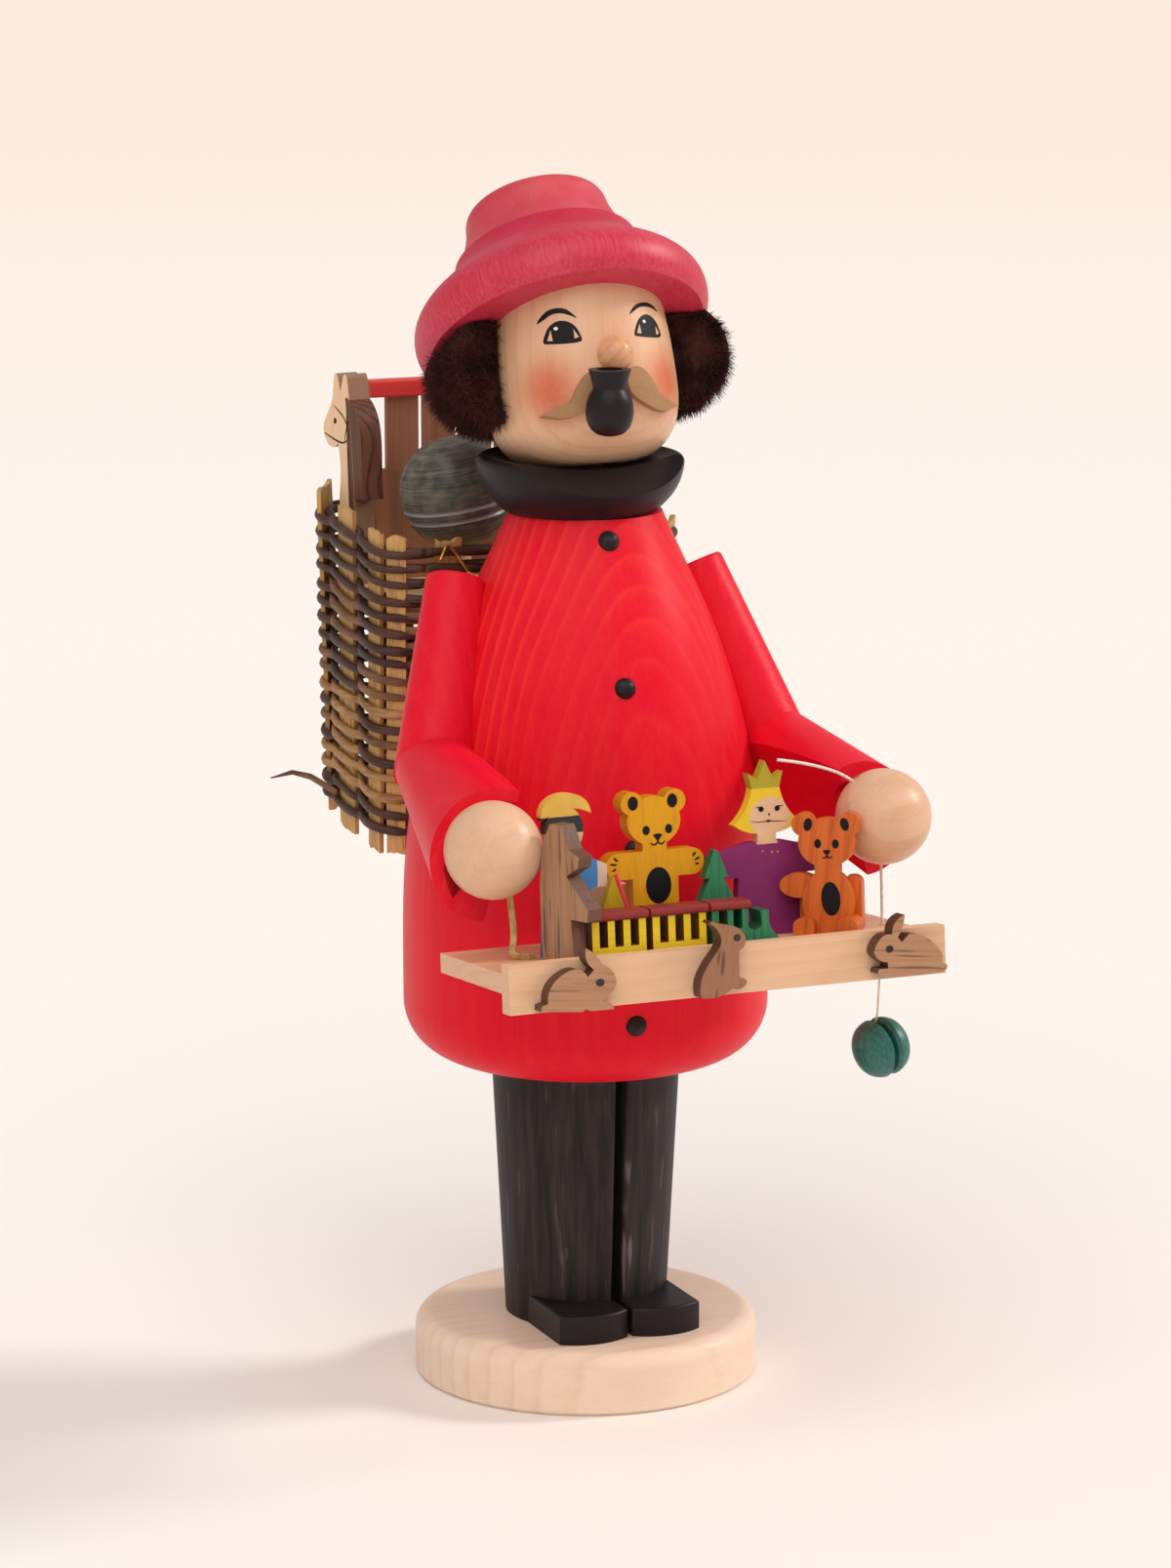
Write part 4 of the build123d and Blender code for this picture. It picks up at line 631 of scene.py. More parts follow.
hat_red, hat_shader, hat_spot = new_finish("hat_red", rough=0.42, gloss=0.35)
hat_spot = hat_spot.node("Mapping", {"vector_type": "TEXTURE"}, {
    "Vector": hat_spot, "Location": hat_place.translation, "Rotation": hat_place.to_euler()})
hat_level = hat_spot.node("SeparateXYZ", {}, {0: hat_spot}).also(2)
hat_streaks = hat_spot.noise((1500, 1500, 70), 3.0, 0.62)
hat_cloud = hat_spot.noise(70, 3.0)
hat_brim = (hat_streaks * 0.7 + hat_cloud * 0.3).rise(0.3, 0.8).mix(tint(196, 30, 64), tint(216, 78, 94))
hat_crown = (hat_streaks * 0.3 + hat_cloud * 0.7).rise(0.3, 0.75).mix(tint(202, 52, 72), tint(214, 82, 90))
hat_band = (hat_streaks * 0.5 + hat_cloud * 0.5).rise(0.3, 0.75).mix(tint(188, 16, 54), tint(206, 44, 74))
hat_upper = hat_level.rise(BAND_TOP * MM, (BAND_TOP + 0.5) * MM).mix(hat_band, hat_crown)
hat_level.rise((BAND_FOOT - 0.8) * MM, BAND_FOOT * MM).mix(hat_brim, hat_upper).feed(hat_shader["Base Color"])
(0.32 + hat_streaks * 0.26).feed(hat_shader["Roughness"])
hat_streaks.bump(0.14, 0.2).feed(hat_shader["Normal"])
turned("turned_hat", hat_outline, hat_place, hat_red, "red_wood", "hat")

# Pipe bowl: a turned pot with a round belly, a crease at its neck and a flared lip, bored from above. Stained black
# and glued to its stem.
pipe_outline = [(0, -9.6)]
pipe_outline += eased([(1.4, -9.6), (3.6, -8.9), (5.3, -7.1), (6.1, -4.6), (6.1, -2.2), (5.6, 0.2), (4.6, 2.1)])
pipe_outline += eased([(4.3, 2.6), (4.55, 4.0), (5.1, 6.0), (5.5, 7.5)]) + [(3.4, 7.57), (3.4, -3.6), (0, -3.6)]
pipe_place = Matrix.Translation(head_place @ (Vector((-5.4, -34.0, 13.5)) * MM))
turned("turned_pipe", pipe_outline, pipe_place, black_stain, "black_wood", "pipe_bowl", 48)

# Arms: each sleeve is two turned lengths, mitred and glued at the elbow, the cuff hollowed for the hand. Stained red
# and dowelled to the coat's sides.
for finish, part, heart, along in (("sleeve_red", "upper_arm", (70, 60, 0), (0, -0.3, 1)),
                                   ("forearm_red", "forearm", (70, 0, 120), (0, -1, -0.3))):
    sleeve = timber(finish, tint(226, 10, 44), tint(240, 48, 54), heart, along, ring=5.0, swirl=2.0, vein=0.35,
                    fibre=0.4, rough=0.42, bump=0.2, gloss=0.15)
    dress(sleeve, part + "_right", part + "_left")

# Hands: turned maple balls that sit in the hollow cuffs on dowels, under a glossy varnish that shows the growth
# rings.
hand_maple = timber("hand_maple", tint(230, 186, 154), tint(200, 148, 110), (0, -20, 90), (1, 0.2, 0.25), ring=6.5,
                    swirl=4.0, vein=0.3, fibre=0.4, rough=0.34, bump=0.08, gloss=0.3)
dress(hand_maple, "hand_right", "hand_left")

# Tray: a planed pine floor on dowels, with a rail glued along its front edge, under a clear matt varnish. The grain
# runs from hand to hand.
tray_place = shift(0, -47.2, 130) @ spin(-5.2, "X") @ shift(0, -42, 0)
tray_pine = timber("tray_pine", tint(232, 188, 152), tint(210, 156, 114), (0, -90, 60), (1, 0.03, 0.015), ring=3.6,
                   swirl=2.5, vein=0.45, fibre=0.4, rough=0.45, bump=0.15)
dress(tray_pine, "tray_floor", "tray_rail")


# Hares and dog: fretsawn from walnut board and glued on, faces sanded, edges left dark from the saw. The hares' eyes
# are drilled and filled.
def fretsawn(name, pale, deep, edge, facing, along, heart, ring=2.4, vein=0.5, fleck=0.55, edge_share=0.85,
             rough=0.5):
    """Board wood whose sawn edges are darker than its faces. facing is the face's direction."""
    material = timber(name, pale, deep, heart, along, ring, swirl=1.2, vein=vein, fibre=0.5, fleck=fleck, rough=rough,
                      coat=0.05, bump=0.35)
    shader = material.node_tree.nodes["Principled BSDF"].inputs
    face_colour = Tone(material.node_tree, shader["Base Color"].links[0].from_socket)
    normal = face_colour.node("TexCoord", out=1)
    level = normal.node("VectorMath", {"operation": "DOT_PRODUCT"}, {0: normal, 1: Vector(facing).normalized()}, 1)
    sawn = 1 - abs(level).rise(0.35, 0.75)
    (sawn * edge_share).mix(face_colour, edge).feed(shader["Base Color"])
    return material


def looks_along(turn):
    """Way that the face of a toy on the tray looks, turned about its upright."""
    return tray_place.to_3x3() @ spin(turn, "Z").to_3x3() @ Vector((0, 1, 0))


SAWN_BROWN = tint(70, 40, 34)
DOG_TURN = -64
tray_facing = looks_along(0)
walnut_lying = fretsawn("walnut_lying", tint(186, 138, 104), tint(130, 90, 66), SAWN_BROWN, tray_facing,
                        (1, 0, -0.1), (0, -140, 40))
walnut_upright = fretsawn("walnut_upright", tint(160, 112, 84), tint(108, 70, 52), SAWN_BROWN, tray_facing,
                          (0.15, 0, 1), (60, -140, 40))
dress(walnut_lying, "hare_crouching", "hare_resting")
dress(walnut_upright, "hare_sitting")


def on_tray(x, y, turn, front):
    """Lays marks on the front face of a toy that stands on the tray at x, y, turned about its upright."""
    stand = tray_place @ shift(x, y, 0) @ spin(turn, "Z")

    def lay(along, up, height):
        return stand @ (Vector((along, -front - height, up)) * MM)
    return lay


eye_grey = brushed("eye_grey", tint(44, 38, 38), tint(74, 64, 62), 0.6)
film("hare_eyes", [oval(-37.4, -3.0, 1.15, 0.95), oval(-0.1, 4.9, 1.0, 0.95), oval(41.8, -1.7, 1.1, 0.95)],
     on_tray(0, 0, 0, 9.6), eye_grey, "black_wood")
walnut_dog = fretsawn("walnut_dog", tint(176, 132, 98), tint(120, 84, 62), tint(92, 58, 50), looks_along(DOG_TURN),
                      (0, 0.1, 1), (0, -200, 0))
dress(walnut_dog, "toy_dog")

# Yellow bear: fretsawn from a board, dipped in yellow stain that lets the grain show, and glued to the tray. Ears,
# eyes, mouth, belly and claws are painted black.
yellow_stain = fretsawn("yellow_stain", tint(228, 162, 20), tint(202, 124, 12), tint(200, 130, 18), tray_facing,
                        (0.02, 0, 1), (-60, -130, 0), ring=2.6, vein=0.4, fleck=0.1, rough=0.4)
dress(yellow_stain, "bear_yellow")
bear_marks = [oval(-5.6, 37.0, 1.4, 1.8), oval(5.2, 37.0, 1.4, 1.8),
              oval(-2.2, 29.9, 1.0, 1.2), oval(4.0, 29.9, 1.0, 1.2),
              loop([(-0.3, 28.6), (0.9, 28.9), (2.1, 28.6), (1.4, 27.5), (0.9, 26.9), (0.4, 27.5)]),
              stroke([(0.9, 27.2), (0.6, 26.4), (-0.4, 26.1), (-1.1, 26.7)], 0.45),
              stroke([(0.9, 27.2), (1.3, 26.4), (2.2, 26.3), (2.9, 27.0)], 0.45),
              oval(0.75, 15.7, 3.5, 4.7)]
claws = (((-11.4, 23.6), (-10.2, 22.6)), ((-12.4, 22.0), (-10.6, 21.8)), ((-11.8, 20.2), (-10.8, 20.8)),
         ((11.2, 23.4), (10.4, 22.4)), ((12.3, 22.0), (10.9, 21.4)), ((12.0, 20.4), (11.0, 20.4)))
bear_marks += [stroke(claw, 0.55) for claw in claws]
film("bear_yellow_marks", bear_marks, on_tray(-9.6, 23.5, 0, 5.0), black_paint, "black_wood")

# Orange bear: a sitting bear sawn in layers that are glued together, orange stain over pine. Ears, eyes, mouth and
# belly are painted black.
SEATED_TURN = -36
orange_stain = fretsawn("orange_stain", tint(222, 112, 44), tint(186, 78, 26), tint(196, 84, 30),
                        looks_along(SEATED_TURN), (0.1, 0, 1), (100, -60, 0), ring=2.8, vein=0.55, fleck=0.2,
                        edge_share=0.6, rough=0.42)
dress(orange_stain, "bear_orange")
seated_marks = [oval(-4.6, 28.7, 1.1, 1.7, -12), oval(4.9, 28.7, 1.1, 1.7, 14), oval(-2.2, 23.8, 0.9, 1.2),
                oval(2.4, 23.7, 0.9, 1.2), loop([(-0.9, 21.9), (0.1, 22.2), (1.1, 21.9), (0.1, 20.9)]),
                stroke([(0.1, 21.0), (-0.2, 20.2), (-1.2, 20.2)], 0.4),
                stroke([(0.1, 21.0), (0.5, 20.2), (1.5, 20.4)], 0.4), oval(0.8, 9.6, 2.5, 4.4, 3)]
film("bear_orange_marks", seated_marks, on_tray(36.3, 12.7, SEATED_TURN, 4.0), black_paint, "black_wood")


# Puppets: a princess and a jester, flat figures fretsawn from thin board and painted all over. The colours meet along
# brushed edges, and the princess's features are drawn with a fine brush.
PAINT_SHADE = 0.72
BRUSH_EDGE = 0.15


def painted_board(name, fields, stand, rough=0.45):
    """Painted figure. fields run from the first coat to the last: each a colour and a mask of (along, up)."""
    material, shader, place = new_finish(name, rough)
    flat = stand.inverted()
    local = place.node("Mapping", {}, {"Vector": place, "Location": flat.to_translation(),
                                       "Rotation": flat.to_euler()})
    split = local.node("SeparateXYZ", {}, {0: local})
    along, up = split * 1000, split.also(2) * 1000
    wave = local.noise(260, 2.0) - 0.5
    colour = None
    for paint, mask in fields:
        shown = (0.88 + wave * 0.5).mix(tint(*(PAINT_SHADE * level for level in paint)), tint(*paint))
        colour = shown if mask is None else mask(along + wave * 0.5, up + wave * 0.5).mix(colour, shown)
    colour.feed(shader["Base Color"])
    (rough + wave * 0.25).feed(shader["Roughness"])
    brush = local.noise((1500, 900, 300), 3.0)
    brush.bump(0.12, 0.2).feed(shader["Normal"])
    return material


def field(*limits):
    """Mask of a painted field, inside all its soft limits: (side, edge) or ("oval", x, z, half width, half height)."""
    def mask(along, up):
        shown = None
        for kind, *sizes in limits:
            if kind == "oval":
                x, z, half_width, half_height = sizes
                part = (((along - x) / half_width) ** 2 + ((up - z) / half_height) ** 2).rise(0.92, 1.08)
            else:
                way = up if kind in ("above", "below") else along
                part = way.rise(sizes[0] - BRUSH_EDGE, sizes[0] + BRUSH_EDGE)
            if kind in ("below", "left", "oval"):
                part = 1 - part
            shown = part if shown is None else shown * part
        return shown
    return mask


SKIN = (236, 190, 148)
princess_stand = tray_place @ shift(22.4, 23.5, 0)
princess_fields = [((140, 46, 106), None),
                   (SKIN, field(("above", 23.6), ("below", 27.2), ("right", -2.9), ("left", 2.9))),
                   ((242, 202, 48), field(("above", 26.3))),
                   (SKIN, field(("oval", 1.0, 30.4, 5.7, 5.2))),
                   (SKIN, field(("above", 24.4), ("below", 29.5), ("right", -2.2), ("left", 3.6))),
                   ((184, 164, 50), field(("above", 37.9)))]
dress(painted_board("princess_paint", princess_fields, princess_stand), "puppet_princess")
princess_marks = [oval(-1.4, 32.6, 0.75, 0.7), oval(3.1, 32.5, 0.75, 0.7), stroke([(-3.0, 33.0), (-1.4, 33.2)], 0.25),
                  stroke([(3.1, 33.2), (4.8, 33.0)], 0.25), oval(0.8, 31.1, 0.22, 0.35),
                  stroke([(-4.4, 29.7), (-2.0, 29.3), (0.6, 29.4), (3.2, 29.2), (5.7, 29.1)], 0.22)]
on_princess = on_tray(22.4, 23.5, 0, 3.2)
film("princess_marks", princess_marks, on_princess, black_paint, "black_wood")
lip_red = brushed("lip_red", tint(120, 30, 34), tint(150, 44, 44))
film("princess_lips", [oval(0.6, 29.45, 0.7, 0.35)], on_princess, lip_red, "red_wood")
gilt_dots = brushed("gilt_dots", tint(214, 160, 60), tint(190, 132, 44))
film("princess_beads", [oval(x, z, 0.3, 0.28) for x, z in ((-1.3, 21.8), (1.3, 21.4), (2.9, 21.4))], on_princess,
     gilt_dots, "yellow_wood")

jester_stand = tray_place @ shift(-34.4, 20.0, 0)
jester_fields = [((74, 140, 204), None),
                 ((236, 205, 180), field(("right", 8.2), ("above", 16.0), ("below", 23.6))),
                 ((40, 96, 160), field(("below", 12.0))),
                 ((224, 178, 132), field(("above", 25.0))),
                 ((56, 56, 60), field(("above", 31.2), ("below", 36.6))),
                 ((236, 188, 84), field(("above", 35.4)))]
dress(painted_board("jester_paint", jester_fields, jester_stand), "puppet_jester")

# Fir tree, engine, coaches and roofs: fretsawn from thin board and dipped in green and yellow stain, with the red
# roofs glued on. The coaches' sawn edges stay dark.
green_stain = fretsawn("green_stain", tint(56, 132, 90), tint(34, 98, 68), tint(34, 92, 64), tray_facing, (0, 0.05, 1),
                       (40, -100, 0), ring=2.0, vein=0.5, fleck=0.3, rough=0.5)
dress(green_stain, "fir_tree", "train_engine")
coach_yellow = fretsawn("coach_yellow", tint(232, 202, 40), tint(206, 172, 28), tint(104, 38, 24), tray_facing,
                        (1, 0, 0), (0, -160, 90), ring=2.6, vein=0.3, fleck=0.1, edge_share=0.9, rough=0.4)
dress(coach_yellow, "coach_bodies")
roof_red = timber("roof_red", tint(150, 54, 50), tint(112, 34, 36), (0, -100, 60), (1, 0, 0), ring=2.4, vein=0.4,
                  fibre=0.5, rough=0.45)
dress(roof_red, "train_roofs")

# Boat and building block: a stained navy hull with an olive sail, and a red painted stick glued along the sail's
# edge. The block is bare planed wood.
hull_navy = timber("hull_navy", tint(42, 84, 128), tint(24, 54, 92), (0, -100, 60), (1, 0, 0), ring=2.4, vein=0.4,
                   fibre=0.4, rough=0.5)
dress(hull_navy, "boat_hull")
sail_olive = timber("sail_olive", tint(194, 158, 22), tint(160, 122, 14), (-60, -120, 0), (0, 0, 1), ring=2.4, vein=0.4,
                    fibre=0.4, rough=0.45)
dress(sail_olive, "boat_sail")
dress(brushed("stick_red", tint(226, 62, 72), tint(200, 44, 54)), "boat_yard")
dress(timber("block_wood", tint(238, 206, 170), tint(216, 172, 132), (0, 0, 60), (0, 0, 1), ring=3.0, vein=0.4),
      "toy_block")


# Lace: a flat tan leather thong fixed in the right hand. It hangs to the tray and curls there, its end cut off
# bare.
def free_curve(name, points, finish, body, slot, node, round_radius, flat_half=0.0):
    """A cord's own curve: one smooth spline with the given points, in the CAD's frame."""
    data = bpy.data.curves.new(name, "CURVE")
    data.dimensions = "3D"
    run = data.splines.new("NURBS")
    run.points.add(len(points) - 1)
    for knot, point in zip(run.points, points):
        knot.co = (*point, 1.0)
    run.order_u = 3
    run.use_endpoint_u = True
    run.resolution_u = 12
    data.bevel_depth = round_radius * MM
    data.bevel_resolution = 3
    data.extrude = flat_half * MM
    data.use_fill_caps = True
    return put(name, data, finish, body, slot, node)


def run_length(made):
    """Length of a curve's own line."""
    data = made.data.copy()
    data.bevel_depth = 0.0
    data.extrude = 0.0
    plain = bpy.data.objects.new("measure", data)
    scene.collection.objects.link(plain)
    bpy.context.view_layer.update()
    line = bpy.data.meshes.new_from_object(plain.evaluated_get(bpy.context.evaluated_depsgraph_get()))
    total = sum((line.vertices[e.vertices[0]].co - line.vertices[e.vertices[1]].co).length for e in line.edges)
    bpy.data.objects.remove(plain)
    bpy.data.meshes.remove(line)
    bpy.data.curves.remove(data)
    return total


LACE_ROUND = 0.35
LACE_HALF = 0.55
lace_tan = mottled("lace_tan", tint(214, 178, 120), tint(176, 134, 84), (900, 900, 300), rough=0.6, relief=(0.3, 0.2))
lace_points = [tray_place @ (Vector(p) * MM) for p in (
    (-50.2, 20.4, 28.4), (-49.0, 20.0, 17.4), (-48.0, 19.6, 6.0), (-49.6, 19.0, 1.6), (-47.0, 18.2, 0.75),
    (-43.6, 17.4, 0.75))]
hand_lace = free_curve("leather_lace", lace_points, lace_tan, "figure", "lace_leather", "hand_lace", LACE_ROUND,
                       LACE_HALF)
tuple(lace_points[0])
run_length(hand_lace)

# Yo-yo cord: white twisted thread. Its stiff tail stands out of the left hand, it runs through the hand and the
# tray's floor, and hangs to the yo-yo, wound into its groove.
thread = mottled("thread", tint(248, 240, 230), tint(216, 202, 186), (2600, 2600, 900), 2.0, rough=0.8,
                 relief=(0.4, 0.2))
CORD_RADIUS = 0.4
HANG_RADIUS = 0.3
HAND_RADIUS = 12.4
HANG_DROP = 27.5
WIND_RADIUS = 5.6
hole = Vector((54.0, -69.4, 127.0))
hand_left = Vector((54.0, -69.4, 160.6))
tail_way = Vector((-0.55, 0.25, 0.8)).normalized()
cord_entry = hand_left + tail_way * HAND_RADIUS
tail_end = cord_entry + Vector((-21.7, 0.5, 6.4))
upper_points = [p * MM for p in (hole, hand_left, cord_entry, tail_end + Vector((9.0, -0.4, -1.4)), tail_end)]
cord_upper = free_curve("cord_upper_run", upper_points, thread, "figure", "twine", "cord_upper", CORD_RADIUS)
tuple(upper_points[0])
run_length(cord_upper)
spool = hole - Vector((0, 0, HANG_DROP))
axle = Vector((-0.965, -0.2, -0.17)).normalized()
spool_up = (Vector((0, 0, 1)) - axle * axle.z).normalized()
spool_side = axle.cross(spool_up)
hang_points = [hole - Vector((0, 0, 0.3)), hole - Vector((0.1, 0, 4.0)), hole - Vector((0.9, 0.3, 11.0)),
               spool + Vector((-1.2, -0.4, 8.6))]
for angle in range(20, 161, 20):
    turn = math.radians(angle)
    hang_points.append(spool + (spool_up * math.cos(turn) + spool_side * math.sin(turn)) * WIND_RADIUS)
hang_points = [p * MM for p in hang_points]
cord_hang = free_curve("cord_hang_run", hang_points, thread, "yo_yo", "twine", "cord_hang", HANG_RADIUS)
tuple(hang_points[0])
run_length(cord_hang)

# Yo-yo: turned beech with a groove for the cord, dipped in dark teal paint that has rubbed unevenly and shows the
# turning lines.
teal, teal_shader, teal_place = new_finish("teal", rough=0.4, gloss=0.5)
teal_rub = teal_place.noise(700, 4.0, 0.65)
teal_turning = teal_place.noise((3200, 420, 420), 2.0)
(teal_rub * 0.6 + teal_turning * 0.4).rise(0.3, 0.72).mix(tint(36, 80, 76), tint(46, 128, 114)).feed(
    teal_shader["Base Color"])
(0.22 + teal_rub * 0.4).feed(teal_shader["Roughness"])
teal_rub.bump(0.3, 0.2).feed(teal_shader["Normal"])
dress(teal, "yo_yo")

# Pack basket: split wood stakes, and round them pairs of willow weavers twined row by row, dark bark at the top
# and foot and tan between. Open in front, where it is tied to the coat.
splint = timber("splint", tint(212, 168, 106), tint(162, 114, 62), (0, 200, 0), (0, 0, 1), ring=2.0, swirl=2.5,
                vein=0.5, fibre=0.7, fleck=0.35, rough=0.6, bump=0.6)
dress(beech, "basket_floor", "basket_shelf")
STAKES = 12
STAKE_START = 0.31
STAKE_WIDTHS = {0: 7.0, 9: 10.0, 10: 11.6, 11: 6.8, 12: 5.4}
TWIN_STAKE = 0.36
WALL_INSET = 1.8
BASKET_CORNER = 12.0
CORNER_STEPS = 12
FOOT_SIZE = (84, 55)
RIM_SIZE = (88, 63)
FOOT_MIDDLE = Vector((-3.5, 60.5, 144.0))
RIM_MIDDLE = Vector((-3.5, 55.5, 225.5))
COAT_ROOM = 0.9
foot_place = Matrix.Translation(FOOT_MIDDLE) @ spin(5.0, "X")
rim_place = Matrix.Translation(RIM_MIDDLE) @ spin(9.5, "X")


def plan_line(width, depth):
    """Way round the middle of the basket's wall, from the left end of its front, with rounded corners."""
    corner = BASKET_CORNER - WALL_INSET
    back, reach = width / 2 - WALL_INSET, depth / 2 - WALL_INSET
    posts = [Vector(p) for p in ((back, -reach), (back, reach), (-back, reach), (-back, -reach))]
    line = []
    for index, post in enumerate(posts):
        arrive = (post - posts[index - 1]).normalized()
        leave = (posts[(index + 1) % 4] - post).normalized()
        turn = math.acos(arrive.dot(leave))
        first = post - arrive * corner * math.tan(turn / 2)
        middle = first + Vector((-arrive.y, arrive.x)) * corner
        for step in range(CORNER_STEPS + 1):
            line.append(middle + Matrix.Rotation(turn * step / CORNER_STEPS, 2) @ (first - middle))
    line = np.array([line[-1]] + line)
    run = np.concatenate([[0], np.cumsum(np.linalg.norm(np.diff(line, axis=0), axis=1))])

    def spot(share):
        far = share % 1.0 * run[-1]
        return Vector((np.interp(far, run, line[:, 0]), np.interp(far, run, line[:, 1]), 0))
    return spot


foot_line = plan_line(*FOOT_SIZE)
rim_line = plan_line(*RIM_SIZE)


def wall_spot(share, level):
    """Middle of the basket's wall, level 0 at the foot and 1 at the rim."""
    return (foot_place @ foot_line(share)).lerp(rim_place @ rim_line(share), level)


coat_skin = surface("coat")


def clear_of_coat(spot):
    near, normal, _, _ = coat_skin.find_nearest(spot * MM)
    return (spot * MM - near).dot(normal) > COAT_ROOM * MM


def wicker(name, points, faces, finish, *stands_for):
    """A part of the basket, drawn in millimetres, that rides with the figure."""
    data = mesh_of(name, [point * MM for point in points], faces)
    return put(name, data, finish, "figure", "wicker", *stands_for)


chance = random.Random(11)
ROUND = 6.28
STAKE_WIDTH = (11.0, 13.0)
STAKE_TOP = (2.6, 4.4)
STAKE_FOOT = (4.0, 5.0)
STAKE_RAG = (-0.9, 0.5)
STAKE_COLUMNS = 6
STAKE_LEVELS = 18
STAKE_TRIES = 20
STAKE_HALF = 0.6
STAKE_CUP = 0.25
STAKE_WAVER = 0.04
stake_shares = [(index + STAKE_START) / STAKES for index in range(STAKES)]
stake_points, stake_faces = [], []
for index, share in enumerate(stake_shares + [stake_shares[-1] + TWIN_STAKE / STAKES]):
    low, high = wall_spot(share, 0), wall_spot(share, 1)
    tries = [step / STAKE_TRIES for step in range(STAKE_TRIES + 1)]
    clear = [level for level in tries if clear_of_coat(low.lerp(high, level))]
    if not clear:
        continue
    foot = low.lerp(high, clear[0])
    along = (high - low).normalized()
    across = (wall_spot(share + 0.004, 0.5) - wall_spot(share - 0.004, 0.5)).normalized()
    out = across.cross(along)
    width = STAKE_WIDTHS.get(index, chance.uniform(*STAKE_WIDTH))
    top_end, foot_end = chance.uniform(*STAKE_TOP), chance.uniform(*STAKE_FOOT) if clear[0] == 0 else 0.0
    length = (high - foot).length + top_end + foot_end
    sway = chance.uniform(0, ROUND)
    rags = [[chance.uniform(*STAKE_RAG) for _ in range(STAKE_COLUMNS)] for _ in range(2)]
    first = len(stake_points)
    for face in (1, -1):
        for level in range(STAKE_LEVELS + 1):
            for column in range(STAKE_COLUMNS):
                far = level / STAKE_LEVELS * length - foot_end
                if level == 0:
                    far -= rags[0][column]
                if level == STAKE_LEVELS:
                    far += rags[1][column]
                side = (column / (STAKE_COLUMNS - 1) - 0.5) * width * (1 + STAKE_WAVER * math.sin(far * 0.21 + sway))
                cup = STAKE_CUP * (2 * side / width) ** 2
                stake_points.append(foot + along * far + across * side + out * (face * STAKE_HALF - cup))
    layer = (STAKE_LEVELS + 1) * STAKE_COLUMNS
    for level in range(STAKE_LEVELS):
        for column in range(STAKE_COLUMNS - 1):
            corner = first + level * STAKE_COLUMNS + column
            quad = (corner, corner + 1, corner + 1 + STAKE_COLUMNS, corner + STAKE_COLUMNS)
            stake_faces.append(quad)
            stake_faces.append(tuple(k + layer for k in reversed(quad)))
    rim = list(range(STAKE_COLUMNS))
    rim += [level * STAKE_COLUMNS + STAKE_COLUMNS - 1 for level in range(1, STAKE_LEVELS + 1)]
    rim += [STAKE_LEVELS * STAKE_COLUMNS + column for column in range(STAKE_COLUMNS - 2, -1, -1)]
    rim += [level * STAKE_COLUMNS for level in range(STAKE_LEVELS - 1, 0, -1)]
    for start, end in zip(rim, rim[1:] + rim[:1]):
        stake_faces.append((first + end, first + start, first + start + layer, first + end + layer))
wicker("split_stakes", stake_points, stake_faces, splint, "basket_stakes")


def willow(name, pale, deep):
    """A split willow weaver: long fibres and dark bark streaks along its run."""
    material, shader, place = new_finish(name, rough=0.5, gloss=0.3)
    fibres = place.noise((170, 170, 2600), 3.0, 0.65)
    patch = place.noise((60, 60, 240), 2.0)
    (fibres * 0.65 + patch * 0.5).rise(0.35, 0.8).mix(deep, pale).feed(shader["Base Color"])
    (0.35 + fibres * 0.3).feed(shader["Roughness"])
    fibres.bump(0.5, 0.4).feed(shader["Normal"])
    return material


bark_dark = willow("bark_dark", tint(96, 64, 50), tint(46, 30, 26))
bark_mid = willow("bark_mid", tint(150, 106, 72), tint(84, 54, 38))
bark_tan = willow("bark_tan", tint(196, 150, 96), tint(128, 88, 52))
ROWS = 18
STEPS = STAKES * 18
SIDES = 8
WEAVER_DEEP = 0.95
WEAVER_TALL = 1.15
WEAVER_SWELL = (0.92, 1.12)
WEAVER_KNOTS = 0.08
WEAVE_OUT = 1.6
WEAVE_RISE = 0.5
WEAVE_WRAP = 1.6
WEAVE_LEVEL = 0.0012
LEVEL_FROM = 0.4
FOOT_ROWS = 2
TOP_ROWS = 10
SHORTEST_RUN = 5
known_shares = [stake_shares[-1] - 1] + stake_shares + [stake_shares[0] + 1]
walk = []
for step in range(STEPS + 1):
    share = step / STEPS
    ahead = wall_spot(share + 0.002, 0.5) - wall_spot(share - 0.002, 0.5)
    passed = float(np.interp(share, known_shares, range(-1, STAKES + 1)))
    walk.append((foot_place @ foot_line(share), rim_place @ rim_line(share),
                 Vector((ahead.y, -ahead.x, 0)).normalized(), passed, share))


def twist_row(row, strand):
    """Way of one weaver of a row: before one stake, behind the next, twisted with its partner between them."""
    waves = [chance.uniform(0, ROUND) for _ in range(2)]
    lift = chance.uniform(-0.25, 0.25)
    way = []
    for low, high, out, passed, share in walk:
        sway = 0.3 * math.sin(ROUND * 3 * share + waves[0]) + 0.22 * math.sin(ROUND * 7 * share + waves[1])
        turn = math.pi * (passed + strand + row)
        over = math.tanh(WEAVE_WRAP * math.cos(turn)) / math.tanh(WEAVE_WRAP)
        level = (row + 0.5) / ROWS
        base = low.lerp(high, level - min(1, level / LEVEL_FROM) * WEAVE_LEVEL * (low.y - FOOT_MIDDLE.y))
        spot = base + out * WEAVE_OUT * over + Vector((0, 0, lift + sway - WEAVE_RISE * math.sin(turn)))
        way.append(spot if clear_of_coat(base) else None)
    return way


